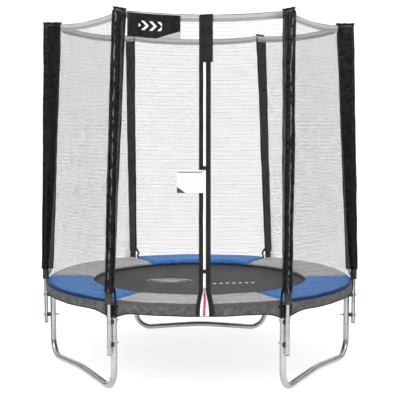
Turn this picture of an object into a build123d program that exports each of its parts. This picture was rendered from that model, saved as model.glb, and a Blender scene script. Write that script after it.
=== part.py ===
from build123d import *
import math
import os

# Garden trampoline with a six-pole safety net. Millimetres, +Z up, the zipped door at the
# front faces -Y, and the origin is on the ground under the middle of the jumping mat.
# Most pieces are drawn once beside the +X axis (X radial, Y along the ring) and turned to
# their places round the ring.

# ---------------------------------------------------------------- layout
pole_count = 6
pole_step = 360.0 / pole_count
pole_angles = [pole_step * i for i in range(pole_count)]
leg_angles = [90.0, 210.0, 330.0]      # middle of each U-shaped leg, between two poles
front_panel_angle = 240.0              # pole at the left of the door
butt_gap = 0.5                         # between tube ends that are pushed together

# ---------------------------------------------------------------- ring and legs
ring_radius = 981.0
ring_height = 498.0
tube_d = 38.0
tube_wall = 1.5
tube_slip = 0.05                       # radial clearance of every swaged tube joint
neck_length = 60.0                     # swaged rail end inside the next rail
shoulder_length = 3.0
socket_wall = 2.0
socket_floor = 9.0                     # solid metal over the bore, under the ring tube
socket_depth = 65.0
socket_top_drop = 6.0                  # weld saddle ends this far under the ring centre
upright_top_gap = 2.0
leg_joint_drop = 185.0                 # from the socket's mouth down to the leg's joint
leg_neck_length = 96.0
leg_bend_radius = 110.0
leg_arch_rise = 30.0                   # how far the ground tube rises towards its middle
leg_arch_radius = 1500.0

# ---------------------------------------------------------------- poles
pole_tube_d = 25.0
pole_wall = 1.2
pole_start_rise = 14.0                 # pole's lower end above the leg's joint
pole_bend_rise = 51.2                  # bend above the net's bottom hem
pole_bend_radius = 400.0
pole_joint_height = 1180.0
pole_neck_length = 60.0
pole_top = 2188.0
lean_height = 1600.0                   # over this height above the bend a pole leans
lean_inward = 40.0
lean_sideways = 40.0
cap_flange = 4.0
cap_stem = 15.0
cap_clearance = 0.1

# ---------------------------------------------------------------- pole fixings
upper_bolt_rise = 16.0                 # above the socket's mouth
lower_bolt_rise = 66.0                 # above the leg's joint
bolt_d = 8.0
bolt_hole_clearance = 0.3
bolt_stick_out = 15.85
bolt_head_across = 13.0
bolt_head_height = 5.5
nut_height = 6.5
nut_bore_clearance = 0.05
seat_gap = 0.05                        # bolt head and nut off the tube they bear on
spacer_height = 22.0
spacer_width = 28.0
spacer_wrap_leg = 10.0                 # the spacer starts this far outside the leg's axis
spacer_wrap_pole = 5.0
spacer_clearance = 0.1

# ---------------------------------------------------------------- foam and sleeves
foam_d = 42.0
foam_bore_clearance = 0.3
foam_pad_gap = 1.0                     # foam's lower end above the pad's underside
foam_skirt_gap = 1.0
foam_top_drop = 4.0
sleeve_rise = 46.2                     # sleeve's lower end above the net's bottom hem
sleeve_over_pole = 26.0
sleeve_cap = 10.0                      # thickness of the closed top
sleeve_wall = 2.0
sleeve_room = 1.0                      # between foam and sleeve
sleeve_edge = 3.0                      # radius of the sewn inner edge
sleeve_reach_bottom = 45.0             # from the pole's axis in to the sewn edge
sleeve_reach_top = 83.0

# ---------------------------------------------------------------- mat, rings and springs
spring_count = 36
spring_step = 360.0 / spring_count
spring_first = spring_step / 2
mat_gap = 191.0                        # from the mat's edge to the ring's centre line
mat_drop = 2.0                         # middle of the mat under the top of the ring tube
mat_thickness = 3.0
hem_width = 25.0
hem_thickness = 2.3
tab_overlap = 5.0
tab_reach = 9.0
tab_width = 20.0
tab_height = 7.3
ring_wire_d = 3.5
ring_wire_slip = 0.1
ring_bar_reach = 4.5
ring_half_width = 15.0
ring_apex_reach = 31.0                 # where the two sides of the V would meet
ring_corner = 2.5
ring_tip_round = 4.0
spring_wire_d = 3.0
spring_d = 20.0
spring_rise = 1.0
coil_from_apex = 21.0
coil_from_tube = 24.0
coil_taper = 8.0
coil_tip_extra = 2.2
hook_clearance = 0.75
hook_corner_gap = 0.1
hook_gap = 0.35
hook_tail = 9.0
hole_clearance = 4.0
hole_angle = 145.0                     # round the ring tube, from the outside over the top
hook_in_tube = 10.0

# ---------------------------------------------------------------- safety pad
pad_over_mat = 90.0
pad_over_tube = 2.0
pad_spring_gap = 1.0
pad_thickness = 18.0
pad_seam_gap = 0.4
strap_width = 16.0
strap_thickness = 2.0
strap_skirt_gap = 1.0
strap_foam_gap = 3.0
strap_skirt_drop = 22.0
strap_sleeve_gap = 3.0

# ---------------------------------------------------------------- net
net_pad_gap = 3.8                      # bottom hem above the pad
net_top_drop = 18.0                    # top seam under the pole's end
net_thickness = 1.5
net_skirt_inset = 1.2                  # the net's middle outside the skirt's inner face
net_seam_inset = 50.0                  # top seam inside the pole's axis
net_edge_angle = 0.05                  # degrees left beside each pole at the bottom hem
band_gap = 2.0
band_width = 30.0
band_thickness = 3.0
skirt_tube_gap = 2.5
skirt_thickness = 2.5
skirt_drop = 2.0                       # skirt's edge under the ring tube

# ---------------------------------------------------------------- door
zip_middle = 35.5                      # X of the zip's centre line
door_standoff = 4.0                    # tapes in front of the net
door_slit = 17.0                       # width left open in the net behind the zip
zip_rise = 72.2                        # slider's lower stop above the net's bottom hem
tape_thickness = 1.5
tape_inner = 6.8                       # from the zip's centre to each tape
tape_left_width = 24.7
tape_right_width = 28.7
tape_skirt_rise = 13.0                 # tapes' lower ends above the skirt's edge
tape_splay = 14.0                      # how far the tapes part at their lower ends
splay_start = 3.0
chain_width = 10.0
chain_thickness = 2.0
chain_half = 4.6
top_strip_width = 76.0
top_strip_offset = 9.5                 # right of the zip's centre
top_strip_drop = 262.0
top_strip_over = 20.0
strip_thickness = 1.5
strip_gap = 0.6

slider_width = 13.0
slider_length = 20.0
slider_plate = 1.3
slider_slot = 0.3                      # between the chain and the slider all round
slider_top_gap = 28.0
lug_width = 2.0
lug_spacing = 3.0
lug_round = 2.0
pin_d = 2.4
pin_slip = 0.05
pin_out = 4.7                          # hinge pin in front of the chain's middle
pin_up = 5.5                           # hinge pin above the slider's lower end
pull_neck_length = 12.0
pull_width = 18.0
pull_length = 140.0
pull_thickness = 1.4

flap_rises = {"door_tab_upper": 690.5, "door_tab_lower": 112.5}
flap_height = 20.0
flap_thickness = 1.2
flap_reach_left = 31.5                 # from the zip's centre
flap_reach_right = 30.5
flap_bridge = 10.5
flap_ramp = 7.0
flap_slider_gap = 0.65
flap_gap = 0.4                         # tab off the tape that it lies on

card_zip_gap = 7.5
card_width = 148.0
card_height = 128.0
card_flap_drop = 11.5                  # card's top under the middle of the upper tab
card_thickness = 0.8
banner_pole_gap = 32.88                # from the top seam's end to the banner
banner_width = 300.0
banner_height = 136.0
banner_over = 24.0
banner_thickness = 1.2
banner_standoff = 7.0

# ---------------------------------------------------------------- worked out: tubes
tube_r = tube_d / 2
neck_r = tube_r - tube_wall - tube_slip
socket_bore_r = tube_r + tube_slip
socket_r = socket_bore_r + socket_wall
pole_r = pole_tube_d / 2
pole_neck_r = pole_r - pole_wall - tube_slip
foam_r = foam_d / 2
bolt_hole_r = bolt_d / 2 + bolt_hole_clearance
half_chord = ring_radius * math.sin(math.radians(pole_step / 2))
chord_distance = ring_radius * math.cos(math.radians(pole_step / 2))

# ---------------------------------------------------------------- worked out: heights, bottom up
socket_bore_top = ring_height - tube_r - socket_floor
socket_bottom = socket_bore_top - socket_depth
leg_joint_height = socket_bottom - leg_joint_drop
leg_neck_top = leg_joint_height + leg_neck_length
pole_bottom = leg_joint_height + pole_start_rise
bolt_heights = [socket_bottom + upper_bolt_rise, leg_joint_height + lower_bolt_rise]
mat_height = ring_height + tube_r - mat_drop
mat_bottom = mat_height - mat_thickness / 2
spring_height = mat_height + spring_rise
pad_bottom = spring_height + spring_d / 2 + pad_spring_gap
foam_bottom = pad_bottom + foam_pad_gap
net_bottom = pad_bottom + pad_thickness + net_pad_gap
sleeve_bottom = net_bottom + sleeve_rise
pole_bend_height = net_bottom + pole_bend_rise
skirt_bottom = ring_height - tube_r - skirt_drop
strap_bottom = skirt_bottom - strap_skirt_drop
strap_top = sleeve_bottom - strap_sleeve_gap
foam_top = pole_top - foam_top_drop
sleeve_top = pole_top + sleeve_over_pole
sleeve_cavity_top = sleeve_top - sleeve_cap
net_top = pole_top - net_top_drop
band_bottom = net_top + band_gap
band_top = band_bottom + band_width
zip_start = net_bottom + zip_rise
tape_bottom = skirt_bottom + tape_skirt_rise
top_strip_bottom = net_top - top_strip_drop
top_strip_top = net_top + top_strip_over
slider_travel_top = top_strip_bottom - slider_top_gap
flap_heights = {name: zip_start + rise for name, rise in flap_rises.items()}
card_top = flap_heights["door_tab_upper"] - card_flap_drop
card_bottom = card_top - card_height

# ---------------------------------------------------------------- worked out: radii, inside out
mat_radius = ring_radius - mat_gap
tab_inner = mat_radius - tab_overlap
tab_outer = mat_radius + tab_reach
ring_bar_radius = mat_radius + ring_bar_reach
ring_apex_radius = mat_radius + ring_apex_reach
coil_inner = ring_apex_radius + coil_from_apex
coil_outer = ring_radius - tube_r - coil_from_tube
coil_tip_d = spring_wire_d + coil_tip_extra
hook_side = (ring_wire_d + spring_wire_d) / 2 + hook_clearance
hook_round = hook_side - hook_corner_gap
hole_d = spring_wire_d + hole_clearance
pad_inner = mat_radius - pad_over_mat
pad_outer = ring_radius + tube_r + pad_over_tube
skirt_inner = ring_radius + tube_r + skirt_tube_gap
net_bottom_radius = skirt_inner + net_skirt_inset
strap_inner = skirt_inner + skirt_thickness + strap_skirt_gap
strap_side = foam_r + strap_foam_gap
pole_radius = skirt_inner + skirt_thickness + foam_skirt_gap + foam_r
sleeve_round = foam_r + sleeve_room + sleeve_wall
RADIAL = Vector(1, 0, 0)
UP = Vector(0, 0, 1)


def turned(shape, angle):
    return Rot(0, 0, angle) * shape


def ring_of(shape, angles):
    return Compound(children=[turned(shape, angle) for angle in angles])


def rod(start, direction, radius, length):
    return Solid.make_cylinder(radius, length, Plane(origin=start, z_dir=direction))


def pipe(start, direction, radius, wall, length):
    return rod(start, direction, radius, length) - rod(start, direction, radius - wall, length)


def wire_along(points, radii, radius, wall=0.0):
    """A round bar, or a tube of the given wall, swept along filleted straight runs."""
    path = FilletPolyline(*points, radius=radii)
    start = Plane(origin=points[0], z_dir=Vector(points[1]) - Vector(points[0]))
    section = Circle(radius) - Circle(radius - wall) if wall else Circle(radius)
    return sweep(start * section, path=path)


def pole_point(height):
    """The pole's axis at a height, for the pole on the +X axis."""
    if height <= pole_bend_height:
        return Vector(pole_radius, 0, height)
    share = (height - pole_bend_height) / lean_height
    return Vector(pole_radius - share * lean_inward, share * lean_sideways, height)


lean = (pole_point(pole_top) - pole_point(pole_bend_height)).normalized()


# ---------------------------------------------------------------- ring
def ring_bar(radius, first_angle, sweep_angle):
    """A solid round bar that follows the ring's centre line."""
    profile = Plane.XZ * Pos(ring_radius, ring_height) * Circle(radius)
    return turned(revolve(profile, Axis.Z, sweep_angle), first_angle)


def leg_socket():
    height = ring_height - socket_top_drop - socket_bottom
    socket = rod((ring_radius, 0, socket_bottom), UP, socket_r, height)
    socket -= ring_bar(tube_r, -pole_step / 2, pole_step)
    bore = rod((ring_radius, 0, socket_bottom), UP, socket_bore_r, socket_bore_top - socket_bottom)
    socket -= bore
    return socket


def spring_hole(angle):
    tilt = math.radians(hole_angle)
    direction = Vector(math.cos(tilt), 0, math.sin(tilt))
    return turned(rod((ring_radius, 0, ring_height), direction, hole_d / 2, tube_d), angle)


def bolt_bores(heights, length_radius):
    start = ring_radius - length_radius
    length = pole_radius + length_radius - start
    return [rod((start, 0, height), RADIAL, bolt_hole_r, length) for height in heights]


def top_rail():
    """One sixth of the ring: a bent tube with a welded leg socket and a swaged end."""
    half = pole_step / 2
    gap = math.degrees(butt_gap / ring_radius)
    shoulder = math.degrees(shoulder_length / ring_radius)
    neck = math.degrees(neck_length / ring_radius)
    rail = ring_bar(tube_r, gap - half, pole_step - gap)
    for i in range(spring_count // pole_count):
        rail -= spring_hole(spring_first + i * spring_step - half)
    rail -= ring_bar(tube_r - tube_wall, gap - half, pole_step - gap - shoulder)
    rail += ring_bar(neck_r, half - shoulder, neck + shoulder)
    rail -= ring_bar(neck_r - tube_wall, half - shoulder, neck + shoulder)
    rail += leg_socket()
    for bore in bolt_bores(bolt_heights[:1], tube_d):
        rail -= bore
    return rail


# ---------------------------------------------------------------- legs
def leg_upright():
    start = leg_joint_height + butt_gap
    length = socket_bore_top - upright_top_gap - start
    upright = pipe((ring_radius, 0, start), UP, tube_r, tube_wall, length)
    for bore in bolt_bores(bolt_heights, tube_d):
        upright -= bore
    return upright


def leg_base():
    """The U-shaped ground tube of one leg, lying across the +X axis."""
    slope = math.atan2(leg_arch_rise, half_chord)
    bend_centre = tube_r + leg_bend_radius
    run = leg_bend_radius * (1 + math.sin(slope)) * math.tan(slope)
    corner = bend_centre - leg_bend_radius * math.cos(slope) - run
    middle = corner + leg_arch_rise
    points = [
        (chord_distance, -half_chord, leg_joint_height),
        (chord_distance, -half_chord, corner),
        (chord_distance, 0, middle),
        (chord_distance, half_chord, corner),
        (chord_distance, half_chord, leg_joint_height),
    ]
    radii = [leg_bend_radius, leg_arch_radius, leg_bend_radius]
    base = wire_along(points, radii, tube_r, tube_wall)
    for side in (-1, 1):
        foot = (chord_distance, side * half_chord, leg_joint_height - shoulder_length)
        base += pipe(foot, UP, tube_r, tube_r - neck_r + tube_wall, shoulder_length)
        neck = pipe(foot, UP, neck_r, tube_wall, leg_neck_top - leg_joint_height + shoulder_length)
        for bore in bolt_bores(bolt_heights[1:], tube_d):
            neck -= turned(bore, side * pole_step / 2)
        base += neck
    return base


# ---------------------------------------------------------------- poles
def pole_lower():
    """Upright tube that is bolted to the leg, bent to lean in, with a swaged top."""
    joint = pole_point(pole_joint_height)
    points = [pole_point(pole_bottom), pole_point(pole_bend_height), joint]
    pole = wire_along(points, [pole_bend_radius], pole_r, pole_wall)
    start = joint - lean * shoulder_length
    pole += pipe(start, lean, pole_r, pole_r - pole_neck_r + pole_wall, shoulder_length)
    pole += pipe(start, lean, pole_neck_r, pole_wall, pole_neck_length + shoulder_length)
    for bore in bolt_bores(bolt_heights, tube_d):
        pole -= bore
    return pole


def pole_upper():
    start = pole_point(pole_joint_height) + lean * butt_gap
    return pipe(start, lean, pole_r, pole_wall, (pole_point(pole_top) - start).length)


def pole_caps():
    """Plastic plugs in the lower and upper end of one pole."""
    stem_r = pole_r - pole_wall - cap_clearance
    low = pole_point(pole_bottom)
    high = pole_point(pole_top)
    bottom = rod(low - UP * cap_flange, UP, pole_r, cap_flange)
    bottom += rod(low - UP * cap_flange, UP, stem_r, cap_flange + cap_stem)
    top = rod(high, lean, pole_r, cap_flange)
    top += rod(high - lean * cap_stem, lean, stem_r, cap_stem + cap_flange)
    return [bottom, top]


def leg_outer_r(height):
    return socket_r if height > socket_bottom else tube_r


def pole_spacer(height):
    """Saddle block that keeps the pole off the leg."""
    inner = ring_radius + spacer_wrap_leg
    outer = pole_radius - spacer_wrap_pole
    block = Pos((inner + outer) / 2, 0, height) * Box(outer - inner, spacer_width, spacer_height)
    bottom = height - spacer_height / 2
    leg_r = leg_outer_r(height) + spacer_clearance
    block -= rod((ring_radius, 0, bottom), UP, leg_r, spacer_height)
    block -= rod((pole_radius, 0, bottom), UP, pole_r + spacer_clearance, spacer_height)
    for bore in bolt_bores([height], tube_d):
        block -= bore
    return block


def hexagon_bar(start, direction, across, length):
    outline = Plane(origin=start, z_dir=direction) * RegularPolygon(across / 2, 6, major_radius=False)
    return extrude(outline, amount=length)


def pole_bolt(height):
    """Hexagon bolt from outside the pole through the leg to past the upper nut."""
    seat = pole_radius + pole_r + seat_gap
    tip = ring_radius - socket_r - seat_gap - nut_height - bolt_stick_out
    bolt = rod((seat, 0, height), -RADIAL, bolt_d / 2, seat - tip)
    bolt += hexagon_bar((seat, 0, height), RADIAL, bolt_head_across, bolt_head_height)
    return bolt


def pole_nut(height):
    seat = ring_radius - leg_outer_r(height) - seat_gap
    nut = hexagon_bar((seat, 0, height), -RADIAL, bolt_head_across, nut_height)
    nut -= rod((seat, 0, height), -RADIAL, bolt_d / 2 + nut_bore_clearance, nut_height)
    return nut


def pole_foam():
    points = [pole_point(foam_bottom), pole_point(pole_bend_height), pole_point(foam_top)]
    wall = foam_r - pole_r - foam_bore_clearance
    return wire_along(points, [pole_bend_radius], foam_r, wall)


def sleeve_section(height, grow):
    """Tear-shaped section: round over the foam, drawn in to the sewn inner edge."""
    share = (height - sleeve_bottom) / (sleeve_top - sleeve_bottom)
    reach = sleeve_reach_bottom + share * (sleeve_reach_top - sleeve_reach_bottom)
    big = Circle(sleeve_round + grow)
    small = Pos(-reach, 0) * Circle(sleeve_edge + grow)
    outline = make_hull(big.edges() + small.edges())
    return Pos(pole_point(height)) * outline


def sleeve_body(low, high, grow):
    return loft([sleeve_section(low, grow).face(), sleeve_section(high, grow).face()], ruled=True)


def pole_sleeve():
    outside = sleeve_body(sleeve_bottom, sleeve_top, 0.0)
    return outside - sleeve_body(sleeve_bottom, sleeve_cavity_top, -sleeve_wall)


# ---------------------------------------------------------------- mat and springs
def jump_mat():
    return rod((0, 0, mat_bottom), UP, mat_radius, mat_thickness)


def mat_webbing():
    """Webbing hem under the mat's edge with one loop for each V-ring."""
    low = mat_bottom - hem_thickness
    hem = pipe((0, 0, low), UP, mat_radius, hem_width, hem_thickness)
    mid = (tab_inner + tab_outer) / 2
    plate = Pos(mid, 0, low + hem_thickness / 2) * Box(tab_outer - tab_inner, tab_width, hem_thickness)
    loop_mid = (mat_radius + tab_outer) / 2
    loop = Pos(loop_mid, 0, low + tab_height / 2) * Box(tab_outer - mat_radius, tab_width, tab_height)
    bar = rod((ring_bar_radius, -tab_width, mat_height), Vector(0, 1, 0),
              ring_wire_d / 2 + ring_wire_slip, 2 * tab_width)
    tab = plate + loop - rod((0, 0, mat_bottom), UP, mat_radius, tab_height) - bar
    for i in range(spring_count):
        hem += turned(tab, spring_first + i * spring_step)
    return hem


def mat_ring():
    """One V-ring of bent wire: its bar is in the webbing loop, its tip holds the spring."""
    points = [
        (ring_bar_radius, -ring_half_width, mat_height),
        (ring_bar_radius, ring_half_width, mat_height),
        (ring_apex_radius, 0, mat_height),
    ]
    path = FilletPolyline(*points, radius=[ring_corner, ring_corner, ring_tip_round], close=True)
    start = Plane(origin=path @ 0, z_dir=path % 0)
    return sweep(start * Circle(ring_wire_d / 2), path=path)


def ring_tip():
    """Radius of the V-ring's wire at its tip."""
    half_angle = math.atan2(ring_half_width, ring_apex_radius - ring_bar_radius)
    return ring_apex_radius - ring_tip_round / math.sin(half_angle) + ring_tip_round


def spring():
    """A tension spring as a plain closed coil with its two hooks."""
    wire_r = spring_wire_d / 2
    tip_r = coil_tip_d / 2
    outline = Polyline(
        (coil_inner - coil_taper, 0), (coil_inner - coil_taper, tip_r), (coil_inner, spring_d / 2),
        (coil_outer, spring_d / 2), (coil_outer + coil_taper, tip_r), (coil_outer + coil_taper, 0),
        close=True)
    profile = Plane.XZ * Pos(0, spring_height) * make_face(outline)
    body = revolve(profile, Axis((0, 0, spring_height), (1, 0, 0)), 360)
    tip = ring_tip() - hook_side + hook_gap
    high = mat_height + hook_side
    low = mat_height - hook_side
    inner = [
        (coil_inner, 0, spring_height), (coil_inner - coil_taper, 0, spring_height),
        (tip + hook_tail, 0, high), (tip, 0, high), (tip, 0, low), (tip + hook_tail, 0, low),
    ]
    body += wire_along(inner, [hook_round, hook_round, hook_round, hook_round], wire_r)
    tilt = math.radians(hole_angle)
    hole_x = ring_radius + tube_r * math.cos(tilt)
    hole_z = ring_height + tube_r * math.sin(tilt)
    back = (spring_height - hole_z) / math.sin(tilt)
    elbow = (hole_x + back * math.cos(tilt), 0, spring_height)
    inside = (hole_x - hook_in_tube * math.cos(tilt), 0, hole_z - hook_in_tube * math.sin(tilt))
    end = (inside[0] - hook_in_tube / 2, 0, inside[2] - hook_in_tube)
    outer = [(coil_outer, 0, spring_height), elbow, inside, end]
    body += wire_along(outer, [hook_round, hook_round], wire_r)
    return body


# ---------------------------------------------------------------- pad and straps
def pad_sector(middle):
    seam = math.degrees(pad_seam_gap / pad_outer)
    sector = pipe((0, 0, pad_bottom), UP, pad_outer, pad_outer - pad_inner, pad_thickness)
    half = pole_step / 2 - seam / 2
    wedge_r = 2 * pad_outer
    wedge = make_face(Polyline(
        (0, 0), (wedge_r * math.cos(math.radians(half)), -wedge_r * math.sin(math.radians(half))),
        (wedge_r * math.cos(math.radians(half)), wedge_r * math.sin(math.radians(half))), close=True))
    sector &= Pos(0, 0, pad_bottom) * extrude(wedge, amount=pad_thickness)
    return turned(sector, middle)


def pole_straps():
    """Two webbing straps beside one pole, from the net's hem down past the skirt."""
    height = strap_top - strap_bottom
    straps = []
    for side in (-1, 1):
        place = Pos(strap_inner + strap_thickness / 2, side * (strap_side + strap_width / 2),
                    (strap_top + strap_bottom) / 2)
        straps.append(place * Box(strap_thickness, strap_width, height))
    return straps


# ---------------------------------------------------------------- net
def seam_point(angle, height):
    """Where the net's top is sewn to a sleeve."""
    axis = pole_point(height)
    return Vector(axis.X - net_seam_inset, axis.Y, height).rotate(Axis.Z, angle)


def seam_strip(height, thickness):
    """A straight strip, in plan, between the sleeves of the poles at 0 and pole_step."""
    first = seam_point(0, height)
    last = seam_point(pole_step, height)
    across = (last - first).cross(UP).normalized() * (thickness / 2)
    corners = [first + across, last + across, last - across, first - across]
    return make_face(Polyline(*corners, close=True))


def hem_strip():
    """The curved strip, in plan, that the net's bottom hem follows."""
    half = net_thickness / 2
    first = math.radians(net_edge_angle)
    last = math.radians(pole_step - net_edge_angle)
    middle = (first + last) / 2

    def at(radius, angle):
        return (radius * math.cos(angle), radius * math.sin(angle), net_bottom)

    outer = net_bottom_radius + half
    inner = net_bottom_radius - half
    edges = [
        ThreePointArc(at(outer, first), at(outer, middle), at(outer, last)),
        Line(at(outer, last), at(inner, last)),
        ThreePointArc(at(inner, last), at(inner, middle), at(inner, first)),
        Line(at(inner, first), at(outer, first)),
    ]
    return make_face(edges)


def clear_of_sleeves(shape):
    """Cut a net piece back from the sleeves at both its ends."""
    envelope = sleeve_body(sleeve_bottom - butt_gap, sleeve_top, butt_gap)
    return shape - envelope - turned(envelope, pole_step)


def net_panel():
    """The panel between the poles at 0 and pole_step: curved hem, straight top."""
    panel = loft([hem_strip().face(), seam_strip(net_top, net_thickness).face()], ruled=True)
    return clear_of_sleeves(panel)


def top_band_strip():
    strip = seam_strip(band_bottom, band_thickness)
    return clear_of_sleeves(extrude(strip, amount=band_top - band_bottom))


def net_skirt():
    outer = skirt_inner + skirt_thickness
    return pipe((0, 0, skirt_bottom), UP, outer, skirt_thickness, net_bottom - skirt_bottom)


def front_halves(panel):
    """The door panel with the zip's slit cut out, left half first."""
    slit = Pos(zip_middle, -net_bottom_radius, net_top / 2) * Box(door_slit, net_bottom_radius, net_top)
    halves = (turned(panel, front_panel_angle) - slit).solids()
    return sorted(halves, key=lambda half: half.center().X)


# ---------------------------------------------------------------- door
def front_top_y():
    """Y of the front panel's top seam at the zip."""
    first = seam_point(front_panel_angle, net_top)
    last = seam_point(front_panel_angle + pole_step, net_top)
    share = (zip_middle - first.X) / (last.X - first.X)
    return first.Y + share * (last.Y - first.Y)


door_bottom_y = -math.sqrt(net_bottom_radius ** 2 - zip_middle ** 2)
door_run = Vector(0, front_top_y() - door_bottom_y, net_top - net_bottom).normalized()
door_out = Vector(0, -door_run.Z, door_run.Y)
door_origin = (Vector(0, door_bottom_y, net_bottom) + door_run * ((zip_start - net_bottom) / door_run.Z)
               + door_out * door_standoff)
door_plane = Plane(origin=door_origin, x_dir=(1, 0, 0), z_dir=door_out)


def along(height):
    """Distance up the door's plane, from the slider's lower stop, to a height."""
    return (height - door_origin.Z) / door_run.Z


def door_sheet(points, thickness, middle=0.0):
    """A flat piece in the door's plane, its thickness centred on the middle offset."""
    outline = make_face(Polyline(*points, close=True))
    return door_plane * Pos(0, 0, middle - thickness / 2) * extrude(outline, amount=thickness)


def door_tape(side):
    """One edging tape beside the zip; below the slider it turns outwards."""
    width = tape_left_width if side < 0 else tape_right_width
    near = zip_middle + side * tape_inner
    far = near + side * width
    top = along(band_bottom - butt_gap)
    bottom = along(tape_bottom)
    spread = side * tape_splay
    points = [(near, top), (far, top), (far, -splay_start), (far + spread, bottom),
              (near + spread, bottom), (near, -splay_start)]
    return door_sheet(points, tape_thickness)


def zip_chain():
    """The closed zip above the slider and its two open halves below."""
    top = along(band_bottom - butt_gap)
    bottom = along(tape_bottom)
    half = chain_width / 2
    left = zip_middle - half
    right = zip_middle + half
    chain = [door_sheet([(left, -splay_start), (left, top), (right, top), (right, -splay_start)],
                        chain_thickness)]
    for side in (-1, 1):
        outer = zip_middle + side * half
        inner = zip_middle + side * (half - chain_half)
        start = -splay_start - butt_gap
        spread = side * tape_splay
        chain.append(door_sheet([(inner, start), (outer, start), (outer + spread, bottom),
                                 (inner + spread, bottom)], chain_thickness))
    return chain


def door_top_strip():
    left = zip_middle + top_strip_offset - top_strip_width / 2
    right = left + top_strip_width
    low = along(top_strip_bottom)
    high = along(top_strip_top)
    middle = chain_thickness / 2 + strip_gap + strip_thickness / 2
    return door_sheet([(left, low), (right, low), (right, high), (left, high)], strip_thickness, middle)


def zip_slider():
    """Slider body round the chain, with two lugs for the pull's pin."""
    thick = chain_thickness + 2 * slider_slot + 2 * slider_plate
    body = Pos(zip_middle, slider_length / 2, 0) * Box(slider_width, slider_length, thick)
    slot = Box(chain_width + 2 * slider_slot, 2 * slider_length, chain_thickness + 2 * slider_slot)
    body -= Pos(zip_middle, slider_length / 2, 0) * slot
    face = thick / 2
    for side in (-1, 1):
        start = zip_middle + side * (lug_spacing + lug_width / 2) - lug_width / 2
        lug_base = Pos(start + lug_width / 2, pin_up, (face + pin_out) / 2)
        lug = lug_base * Box(lug_width, 2 * lug_round, pin_out - face)
        lug += rod((start, pin_up, pin_out), RADIAL, lug_round, lug_width)
        lug -= rod((start, pin_up, pin_out), RADIAL, pin_d / 2 + pin_slip, lug_width)
        body += lug
    return door_plane * body


def zip_pull():
    """Ribbon pull that hangs from a pin in the slider's lugs."""
    half_pin = lug_spacing + lug_width
    pull = rod((zip_middle - half_pin, pin_up, pin_out), RADIAL, pin_d / 2, 2 * half_pin)
    neck_width = 2 * (lug_spacing - slider_slot)
    neck_low = pin_up - pull_neck_length
    pull += Pos(zip_middle, (pin_up + neck_low) / 2, pin_out) * Box(
        neck_width, pull_neck_length, pull_thickness)
    pull += Pos(zip_middle, neck_low - pull_length / 2, pin_out) * Box(
        pull_width, pull_length, pull_thickness)
    return door_plane * pull


def door_tab(height):
    """Fabric tab that bridges the zip in an arch the slider can pass under."""
    base = tape_thickness / 2 + flap_gap
    high = pin_out + lug_round + flap_slider_gap
    bridge_left = zip_middle - flap_bridge
    bridge_right = zip_middle + flap_bridge
    upper = [
        (zip_middle - flap_reach_left, base), (bridge_left - flap_ramp, base), (bridge_left, high),
        (bridge_right, high), (bridge_right + flap_ramp, base), (zip_middle + flap_reach_right, base),
    ]
    lower = [(x, out + flap_thickness) for x, out in reversed(upper)]
    outline = make_face(Polyline(*[(x, 0, out) for x, out in upper + lower], close=True))
    tab = extrude(outline, amount=flap_height / 2, dir=(0, 1, 0), both=True)
    return door_plane * Pos(0, along(height), 0) * tab


def instruction_card():
    middle = tape_thickness / 2 + flap_gap + card_thickness / 2
    card_right = zip_middle - card_zip_gap
    card_left = card_right - card_width
    return door_sheet([(card_left, along(card_bottom)), (card_right, along(card_bottom)),
                       (card_right, along(card_top)), (card_left, along(card_top))],
                      card_thickness, middle)


def banner():
    """Printed fabric patch that hangs in front of the net's top band."""
    first = seam_point(front_panel_angle, net_top)
    last = seam_point(front_panel_angle + pole_step, net_top)
    run = (last - first).normalized()
    out = Vector(run.Y, -run.X, door_run.Y).normalized()
    centre_x = first.X + banner_pole_gap + banner_width / 2
    centre_z = net_top + banner_over - banner_height / 2
    share = (centre_x - first.X) / (last.X - first.X)
    seam_y = first.Y + share * (last.Y - first.Y)
    centre_y = seam_y - (net_top - centre_z) * door_run.Y / door_run.Z
    plane = Plane(origin=Vector(centre_x, centre_y, centre_z) + out * banner_standoff,
                  x_dir=run, z_dir=out)
    return plane * Box(banner_width, banner_height, banner_thickness)


# ---------------------------------------------------------------- write the pieces
def save(name, shape):
    export_step(shape, "parts/" + name + ".step")


def write_ring_and_legs():
    rail = top_rail()
    upright = leg_upright()
    for number, angle in enumerate(pole_angles, start=1):
        save("top_rail_%d" % number, turned(rail, angle))
        save("leg_upright_%d" % number, turned(upright, angle))
    base = leg_base()
    for number, angle in enumerate(leg_angles, start=1):
        save("leg_base_%d" % number, turned(base, angle))


def write_poles():
    lower = pole_lower()
    upper = pole_upper()
    sleeve = pole_sleeve()
    for number, angle in enumerate(pole_angles, start=1):
        save("pole_lower_%d" % number, turned(lower, angle))
        save("pole_upper_%d" % number, turned(upper, angle))
        save("pole_sleeve_%d" % number, turned(sleeve, angle))
    save("pole_foam", ring_of(pole_foam(), pole_angles))
    groups = {
        "pole_spacers": [pole_spacer(height) for height in bolt_heights],
        "pole_bolts": [pole_bolt(height) for height in bolt_heights],
        "pole_nuts": [pole_nut(height) for height in bolt_heights],
        "pole_caps": pole_caps(),
        "pole_straps": pole_straps(),
    }
    for name, pieces in groups.items():
        save(name, Compound(children=[turned(p, angle) for angle in pole_angles for p in pieces]))


def write_mat_and_pad():
    spring_angles = [spring_first + i * spring_step for i in range(spring_count)]
    save("jump_mat", jump_mat())
    save("mat_webbing", mat_webbing())
    save("mat_rings", ring_of(mat_ring(), spring_angles))
    save("springs", ring_of(spring(), spring_angles))
    blue = [-30.0, 90.0, 210.0]
    grey = [angle + pole_step for angle in blue]
    save("pad_blue", Compound(children=[pad_sector(angle) for angle in blue]))
    save("pad_grey", Compound(children=[pad_sector(angle) for angle in grey]))


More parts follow.
